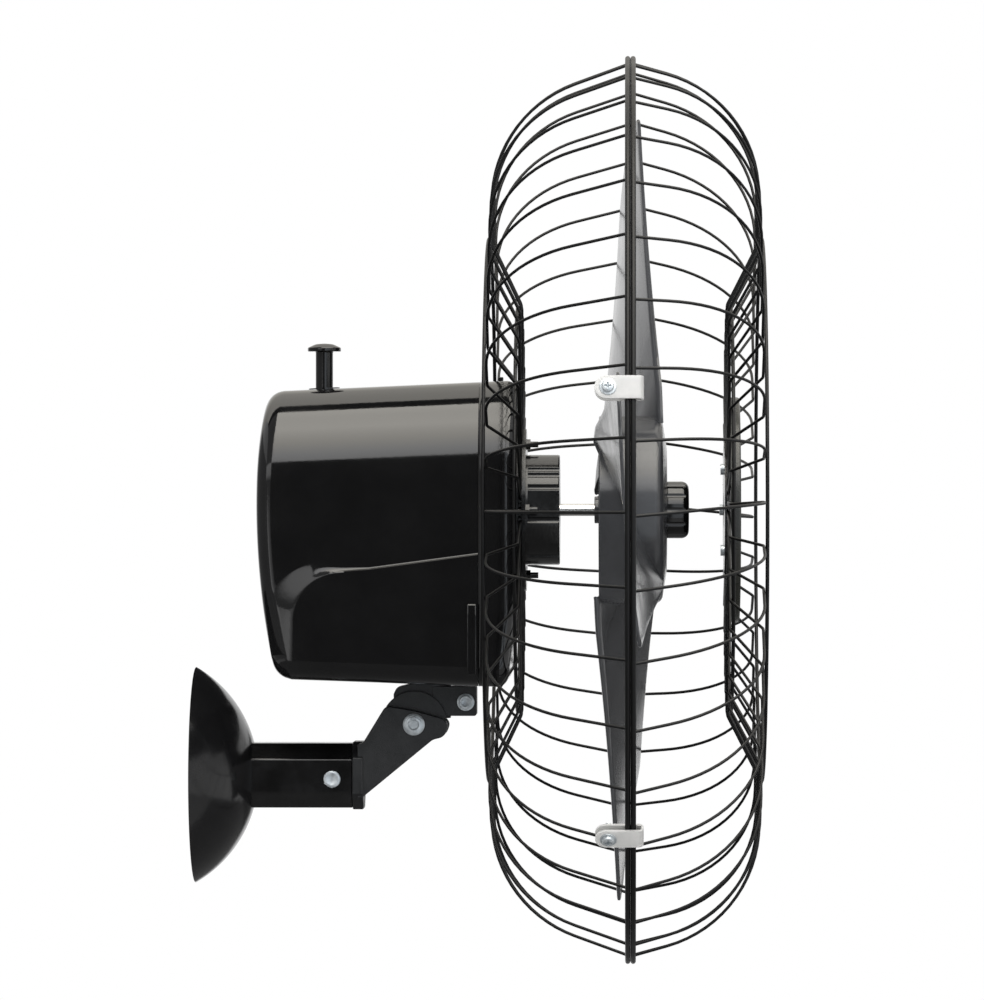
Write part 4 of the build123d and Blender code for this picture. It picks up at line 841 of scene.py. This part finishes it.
def wing_pitch(r):
    """How much a wing falls back across its chord, at a radius."""
    return WING_PITCH * exp(-r / PITCH_FALL)


def wing_half(r):
    """Half of a wing's chord at a radius."""
    return WING_CHORD + CHORD_GROWTH * r


def wing_thickness(r):
    """Thinner outwards, and rounded off at the tip."""
    past = max(0.0, (r - TIP_ROUND_FROM) / TIP_ROUND_L)
    return (WING_T - WING_THINNING * r / BLADE_R) * sqrt(max(0.0, 1 - past**2))


root, half_root, waist, wing_shoulder = 34.0, 46.0, 64.0, BLADE_R - 14.0
planform = rounded(
    [(half_root, root), (wing_half(waist), waist),
     (wing_half(wing_shoulder), wing_shoulder), (40.0, BLADE_R - 0.6),
     (-40.0, BLADE_R - 0.6), (-wing_half(wing_shoulder), wing_shoulder),
     (-wing_half(waist), waist), (-half_root, root)],
    [1, 20, 7, 60, 60, 7, 20, 1], step=4.0)


def wing_reach(r):
    """The planform's trailing and leading edge at a radius."""
    found = []
    for a, b in zip(planform, planform[1:] + planform[:1]):
        if (a.y - r) * (b.y - r) <= 0 and a.y != b.y:
            found.append(a.x + (b.x - a.x) * (r - a.y) / (b.y - a.y))
    return min(found), max(found)


def wing(angle):
    """One twisted, cambered wing: closed sections from the root to the tip."""
    out, lead = Vector((0, sin(angle), cos(angle))), Vector((0, cos(angle), -sin(angle)))
    radii = [root + 0.5 + r for r in stepped(0.0, TIP_FROM - root, 60)]
    radii += [TIP_FROM + (BLADE_R - 0.8 - TIP_FROM) * sin(a)
              for a in stepped(0.0, pi / 2, 14) + [pi / 2]]
    rows = []
    for r in radii:
        low, high = wing_reach(r)
        full = wing_half(r) + CAMBER_MARGIN
        section = []
        for side in (1, -1):
            for k in range(WING_ACROSS):
                t = (k if side > 0 else WING_ACROSS - k) / WING_ACROSS
                c = low + (high - low) * (0.5 - 0.5 * cos(pi * t))
                nose = min(c - low, high - c, NOSE_L) / NOSE_L
                lift = side * wing_thickness(r) / 2 * sqrt(max(0.0, 1 - (1 - nose) ** 2))
                mean = wing_pitch(r) * c + CAMBER * full * (1 - (c / full) ** 2)
                reach = max(r, sqrt(max(0.0, (HUB_R - 1.2) ** 2 - c**2)))
                section.append(Vector((WING_X - mean - lift, 0, AXIS_Z)) + out * reach + lead * c)
        rows.append(section)
    points, faces = grid(rows, closed=True)
    across = len(rows[0])
    return points, faces + [tuple(range(across)), tuple(range(len(points) - across, len(points)))]


hub_web = HUB_SHOULDER - HUB_WALL
hub_profile = rounded(
    [(HUB_BACK, 0), (HUB_BACK, HUB_BORE_R), (HUB_BACK + 7, HUB_BORE_R),
     (HUB_BACK + 7, HUB_BOSS_R), (hub_web, HUB_BOSS_R + 2),
     (hub_web, HUB_R - HUB_WALL), (HUB_BACK + 3, HUB_R - HUB_WALL),
     (HUB_BACK + 3, HUB_R), (HUB_SHOULDER, HUB_R), (HUB_FRONT, HUB_FLAT_R),
     (HUB_FRONT, 0)], [0, .6, .6, .6, 2, 4, 1, 1, 6, 40, 0])
piece("blade_moulding",
      [wing(radians(WING_TURN + k * 360 / WING_COUNT)) for k in range(WING_COUNT)]
      + [lathe(hub_profile, about_fan, turns=144)],
      "rotor", "grey_plastic", ["fan_blade"], crease=40)
spinner_profile = rounded(
    [(HUB_FRONT, 0), (HUB_FRONT, SPINNER_R), (HUB_FRONT + SPINNER_L, SPINNER_R),
     (HUB_FRONT + SPINNER_L, 0)], [0, 0.6, 5.0, 0])
piece("spinner_knob", [lathe(spinner_profile, about_fan, turns=360, radius=spinner_radius)],
      "rotor", "black_plastic", ["spinner_nut"], crease=40)

# ---- clips ----
CLIP_W, CLIP_T, CLIP_BACK, CLIP_FRONT, CLIP_SCREW_A = 14.6, 1.5, -22.3, 8.3, -14.0
CLIP_SLACK, CLIP_EDGE, CLIP_CREASE = 0.15, 0.35, 50.0
CLIP_WASHER_R, CLIP_HEAD_R, CLIP_HEAD_H, CLIP_SCREW_L = 5.3, 3.9, 3.2, 13.0
CROSS_R, CROSS_HALF_W, CROSS_DEPTH = 2.3, 0.55, 1.5
clip_in, clip_out = RIM_R - RIM_WIRE_R - CLIP_SLACK, RIM_R + RIM_WIRE_R + CLIP_SLACK
clip_angles = [radians(a) for a in (14.5, -43.2, 163.5, 200.3)]


def at_rim(turn):
    """Places (axial, tangential, radial) about a spot on the rim."""
    out, around = Vector((0, -cos(turn), sin(turn))), Vector((0, sin(turn), cos(turn)))
    return lambda a, t, r: Vector((RIM_X + a, 0, AXIS_Z)) + out * r + around * t


def clip_strap(turn):
    """The middle of a clip's sheet, bent round the rim at the front."""
    place = at_rim(turn)
    high, low = clip_out + CLIP_T / 2, clip_in - CLIP_T / 2
    nose, half = CLIP_FRONT - CLIP_T / 2, CLIP_W / 2
    end = [CLIP_BACK + half * (1 - cos(a)) for a in stepped(0.0, pi / 2, 9) + [pi / 2]]
    bend = rounded([(4, high), (nose, high), (nose, low), (4, low)], [0, 2.2, 2.2, 0], step=15)
    straight = (-10, -5, 0, 3)
    path = [(a, high) for a in (*end, *straight)] + [(p.x, p.y) for p in bend]
    path += [(a, low) for a in (*straight[::-1], *end[::-1])]
    rows = []
    for a, r in path:
        reach = sqrt(max(0.04, half**2 - max(0.0, CLIP_BACK + half - a) ** 2))
        rows.append([place(a, reach * k / 3, r) for k in range(-3, 4)])
    return grid(rows)


straps = piece("clip_straps", [clip_strap(turn) for turn in clip_angles], "head",
               "white_nylon", ["guard_clips"], crease=CLIP_CREASE)
thicken(straps, CLIP_T, offset=0.0)
soften(straps, CLIP_EDGE, segments=2, limit=CLIP_CREASE, harden=False)


def cross_head(radius, start, end, place):
    """A pan head with a cross recess."""
    def profile_at(a):
        off = abs((a + pi / 4) % (pi / 2) - pi / 4)
        reach = min(CROSS_R, CROSS_HALF_W / max(1e-3, sin(off)))
        return [(start, 0), (start, radius), (end - 1.2, radius), (end - 0.4, radius - 0.5),
                (end, radius - 1.5), (end, reach), (end - CROSS_DEPTH, max(0.35, reach - 0.6)),
                (end - CROSS_DEPTH - 0.2, 0)]

    return turned(profile_at, place, 96)


def about_clip_screw(turn, way):
    """Turning about a clip's screw, away from the fan's axis or towards it with -1."""
    place = at_rim(turn)
    return lambda along, u, v: place(CLIP_SCREW_A + u, v, way * along)


face, under = clip_out + CLIP_T, clip_in - CLIP_T
screw_parts, nut_parts = [], []
for turn in clip_angles:
    outward, inward = about_clip_screw(turn, 1), about_clip_screw(turn, -1)
    screw_parts += [round_plate(CLIP_WASHER_R, face, face + 1.0, outward),
                    cross_head(CLIP_HEAD_R, face + 0.8, face + CLIP_HEAD_H, outward),
                    pin(M4_R, face - CLIP_SCREW_L, face, outward, turns=24)]
    nut_parts.append(hexagon(M4_APOTHEM, -under, -under + M4_NUT_H, inward, both=True))
piece("clip_pan_screws", screw_parts, "head", "zinc_steel", ["clip_screws"])
piece("clip_hex_nuts", nut_parts, "head", "zinc_steel", ["clip_nuts"])

# ---- badge ----
BADGE_R, BADGE_T, BADGE_RIM, BADGE_SUNK = 75.0, 7.0, 5.0, 0.6
badge_x = RIM_X + FRONT_RECESS + WIRE_R + LAY
badge_face = badge_x + BADGE_T
badge_profile = rounded(
    [(badge_x, 0), (badge_x, BADGE_R), (badge_face, BADGE_R),
     (badge_face, BADGE_R - BADGE_RIM),
     (badge_face - BADGE_SUNK, BADGE_R - BADGE_RIM - 1.5),
     (badge_face - BADGE_SUNK, 0)], [0, .4, 1.6, .4, .4, 0])
piece("badge_disc", [lathe(badge_profile, about_fan, turns=180)], "head", "badge_olive",
      ["guard_badge"], crease=40)

# ---- stage ----
WARM, WHITE, COOL = (1.0, 0.965, 0.89), (1.0, 1.0, 1.0), (0.88, 0.94, 1.0)
ARC_R, ARC_Y, ARC_Z, ARC_STEPS, ARC_LEFT, ARC_RIGHT = 1.7, -0.05, 0.2, 24, -1.47, 1.73
SOFTBOX_LEFT, STRIP_RIGHT, FRONT_RIGHT = -0.28, -0.30, 0.285
# elevations, in degrees, where the cards on the near side's arc begin and end
FOOT, LEFT_SPLIT, BOX_FOOT, BOX_TOP, ROOF_FOOT, ROOF_TOP = -62, -0.5, 24, 98, 110, 165
FLAG_Z, LOW_Z, BACK_Y, FLOOR_Z, FLOOR_HALF, FLOOR_TONE = 0.0765, -0.6, 1.7, -0.75, 2.6, 0.82
CENTRE, CAMERA_AT, CAMERA_TO = (0.19, 0.0, 0.18), (0.2897, -4.0, 0.174), (0.1977, 0, 0.1833)
SKY_LIGHT, SKY_SEEN = 0.45, 1.0


def stage_mesh(name, points, faces, material, glossy_only=False):
    """A piece of the studio, which may show in reflections only."""
    mesh = bpy.data.meshes.new(name)
    mesh.from_pydata(points, [], faces)
    ob = bpy.data.objects.new(name, mesh)
    mesh.materials.append(material)
    add_to_scene(ob)
    if glossy_only:
        ob.visible_camera = ob.visible_diffuse = ob.visible_shadow = False
        ob.visible_transmission = ob.visible_volume_scatter = False
    return ob


def empty_tree(owner):
    """The node tree of a material or world, without its first nodes."""
    owner.use_nodes = True
    owner.node_tree.nodes.clear()
    return owner.node_tree


def card_material(name, stops, across="Y"):
    """A card that glows by stops of (place up or along the card, strength, tint)."""
    material = bpy.data.materials.new(name)
    tree = empty_tree(material)
    link = tree.links.new
    top = max(strength for _, strength, _ in stops)
    ramp = add_node(tree, "ShaderNodeValToRGB")
    while len(ramp.color_ramp.elements) < len(stops):
        ramp.color_ramp.elements.new(0.5)
    for element, (at, strength, tint) in zip(ramp.color_ramp.elements, stops):
        element.position = at
        element.color = (*(strength / top * c for c in tint), 1)
    split = add_node(tree, "ShaderNodeSeparateXYZ")
    glow = add_node(tree, "ShaderNodeEmission", Strength=top)
    link(add_node(tree, "ShaderNodeUVMap").outputs["UV"], split.inputs["Vector"])
    link(split.outputs[across], ramp.inputs["Fac"])
    link(ramp.outputs["Color"], glow.inputs["Color"])
    link(glow.outputs["Emission"], add_node(tree, "ShaderNodeOutputMaterial").inputs["Surface"])
    return material


def even(strength, tint=WHITE):
    """The stops of a card that glows the same all over."""
    return [(0.0, strength, tint), (1.0, strength, tint)]


def arc_card(name, low, high, stops, across="Y", left=ARC_LEFT, right=ARC_RIGHT):
    """A curved card from x left to right, from one elevation to another on the near side."""
    points = []
    for a in stepped(radians(low), radians(high), ARC_STEPS) + [radians(high)]:
        y, z = ARC_Y - ARC_R * cos(a), ARC_Z + ARC_R * sin(a)
        points += [(left, y, z), (right, y, z)]
    faces = [(2 * k, 2 * k + 1, 2 * k + 3, 2 * k + 2) for k in range(ARC_STEPS)]
    ob = stage_mesh(name, points, faces, card_material(name, stops, across), glossy_only=True)
    layer = ob.data.uv_layers.new(name="UVMap")
    for loop in ob.data.loops:
        layer.data[loop.index].uv = (loop.vertex_index % 2, (loop.vertex_index // 2) / ARC_STEPS)


def level_corners(x_range, y_range, z):
    """The corners of a level rectangle."""
    (xa, xb), (ya, yb) = x_range, y_range
    return [(xa, ya, z), (xb, ya, z), (xb, yb, z), (xa, yb, z)]


def upright_corners(start, end, low, high):
    """The corners of an upright rectangle over a line from start to end."""
    return [(*start, low), (*end, low), (*end, high), (*start, high)]


def flat_card(name, corners, strength):
    """A flat card that glows the same all over."""
    stage_mesh(name, corners, [(0, 1, 2, 3)], card_material(name, even(strength)), glossy_only=True)


arc_card("softbox_card", BOX_FOOT, BOX_TOP,
         [(0.0, 3.2, WHITE), (0.12, 3.8, WHITE), (0.34, 5.2, WARM), (0.6, 6.6, WARM),
          (0.85, 5.6, WARM), (1.0, 5.4, WARM)], left=SOFTBOX_LEFT)
arc_card("dim_card_left", BOX_FOOT, BOX_TOP, even(0.35), right=SOFTBOX_LEFT)
arc_card("dim_card_far_left", LEFT_SPLIT, BOX_FOOT,
         [(0.0, 0.3, WHITE), (0.15, 0.3, WHITE), (0.35, 1.7, WHITE), (1.0, 2.0, WHITE)],
         right=STRIP_RIGHT)
arc_card("strip_card_left", FOOT, LEFT_SPLIT,
         [(0.0, 0.3, WHITE), (0.42, 0.3, WHITE), (0.55, 2.0, WHITE), (0.68, 1.2, WHITE),
          (0.85, 0.75, WHITE), (1.0, 0.4, WHITE)], across="X", right=STRIP_RIGHT)
arc_card("dark_card_front", FOOT, BOX_FOOT, even(0.08), left=STRIP_RIGHT, right=FRONT_RIGHT)
arc_card("cool_card_front_right", FOOT, BOX_FOOT, even(1.3, COOL), left=FRONT_RIGHT)
arc_card("dark_card_top", BOX_TOP, ROOF_FOOT, even(0.05))
arc_card("roof_card", ROOF_FOOT, ROOF_TOP,
         [(0.0, 2.0, WARM), (0.3, 1.4, WARM), (0.6, 0.9, WARM), (1.0, 0.75, WARM)])
flat_card("flag_over_canopy", level_corners((-0.35, 0.036), (-0.12, 0.06), FLAG_Z), 0.02)
flat_card("flag_over_arm", level_corners((0.036, 0.057), (-0.045, 0.06), FLAG_Z), 0.02)
flat_card("dark_card_below", level_corners((-1.0, FRONT_RIGHT), (-1.5, BACK_Y), LOW_Z), 0.18)
flat_card("dark_card_below_right", level_corners((FRONT_RIGHT, 2.0), (-0.25, BACK_Y), LOW_Z), 0.18)
flat_card("dark_card_back", upright_corners((0.59, BACK_Y), (2.0, BACK_Y), LOW_Z, 0.25), 0.08)
flat_card("dark_card_side", upright_corners((-1.5, -1.75), (-1.5, BACK_Y), LOW_Z, 1.0), 0.3)

floor_material = bpy.data.materials.new("studio_floor")
floor_material.use_nodes = True
floor_shader = floor_material.node_tree.nodes["Principled BSDF"]
floor_shader.inputs["Base Color"].default_value = (FLOOR_TONE, FLOOR_TONE, FLOOR_TONE, 1)
floor_shader.inputs["Roughness"].default_value = 0.9
floor_reach = (-FLOOR_HALF, FLOOR_HALF)
stage_mesh("studio_floor", level_corners(floor_reach, floor_reach, FLOOR_Z), [(0, 1, 2, 3)],
           floor_material)


def look_from(ob, at, target):
    """Put a light or camera somewhere and turn it to a target."""
    ob.location = at
    ob.rotation_euler = (Vector(target) - Vector(at)).to_track_quat("-Z", "Y").to_euler()
    add_to_scene(ob)


def area_light(name, at, size, power):
    """A soft light on the fan that no reflection shows."""
    light = bpy.data.lights.new(name, "AREA")
    light.shape = "RECTANGLE"
    light.size, light.size_y = size
    light.energy = power
    ob = bpy.data.objects.new(name, light)
    ob.visible_glossy = ob.visible_camera = False
    look_from(ob, at, CENTRE)


area_light("key_soft", at=(0.0, -1.5, 1.9), size=(1.8, 1.4), power=22)
area_light("fill_left", at=(-1.9, -1.4, 0.7), size=(1.4, 1.4), power=8)
area_light("back_top", at=(0.3, 1.7, 1.5), size=(1.8, 1.2), power=8)

# the world lights the fan faintly, and shows white to the camera and in reflections
world = bpy.data.worlds.new("studio")
bpy.context.scene.world = world
tree = empty_tree(world)
link = tree.links.new
lighting, seen = (add_node(tree, "ShaderNodeBackground", Color=(1, 1, 1, 1), Strength=strength)
                  for strength in (SKY_LIGHT, SKY_SEEN))
ray, mix = add_node(tree, "ShaderNodeLightPath"), add_node(tree, "ShaderNodeMixShader")
either, any_of = add_node(tree, "ShaderNodeMath"), add_node(tree, "ShaderNodeMath")
either.operation = any_of.operation = "MAXIMUM"
link(ray.outputs["Is Camera Ray"], either.inputs[0])
link(ray.outputs["Is Glossy Ray"], either.inputs[1])
link(either.outputs["Value"], any_of.inputs[0])
link(ray.outputs["Is Transmission Ray"], any_of.inputs[1])
link(any_of.outputs["Value"], mix.inputs["Fac"])
link(lighting.outputs["Background"], mix.inputs[1])
link(seen.outputs["Background"], mix.inputs[2])
link(mix.outputs["Shader"], add_node(tree, "ShaderNodeOutputWorld").inputs["Surface"])

camera = bpy.data.cameras.new("camera")
camera.lens, camera.sensor_width, camera.clip_end = 216.0, 36.0, 50.0
viewer = bpy.data.objects.new("camera", camera)
look_from(viewer, CAMERA_AT, CAMERA_TO)
bpy.context.scene.camera = viewer
bpy.context.scene.view_settings.view_transform = "Standard"

bpy.context.view_layer.update()
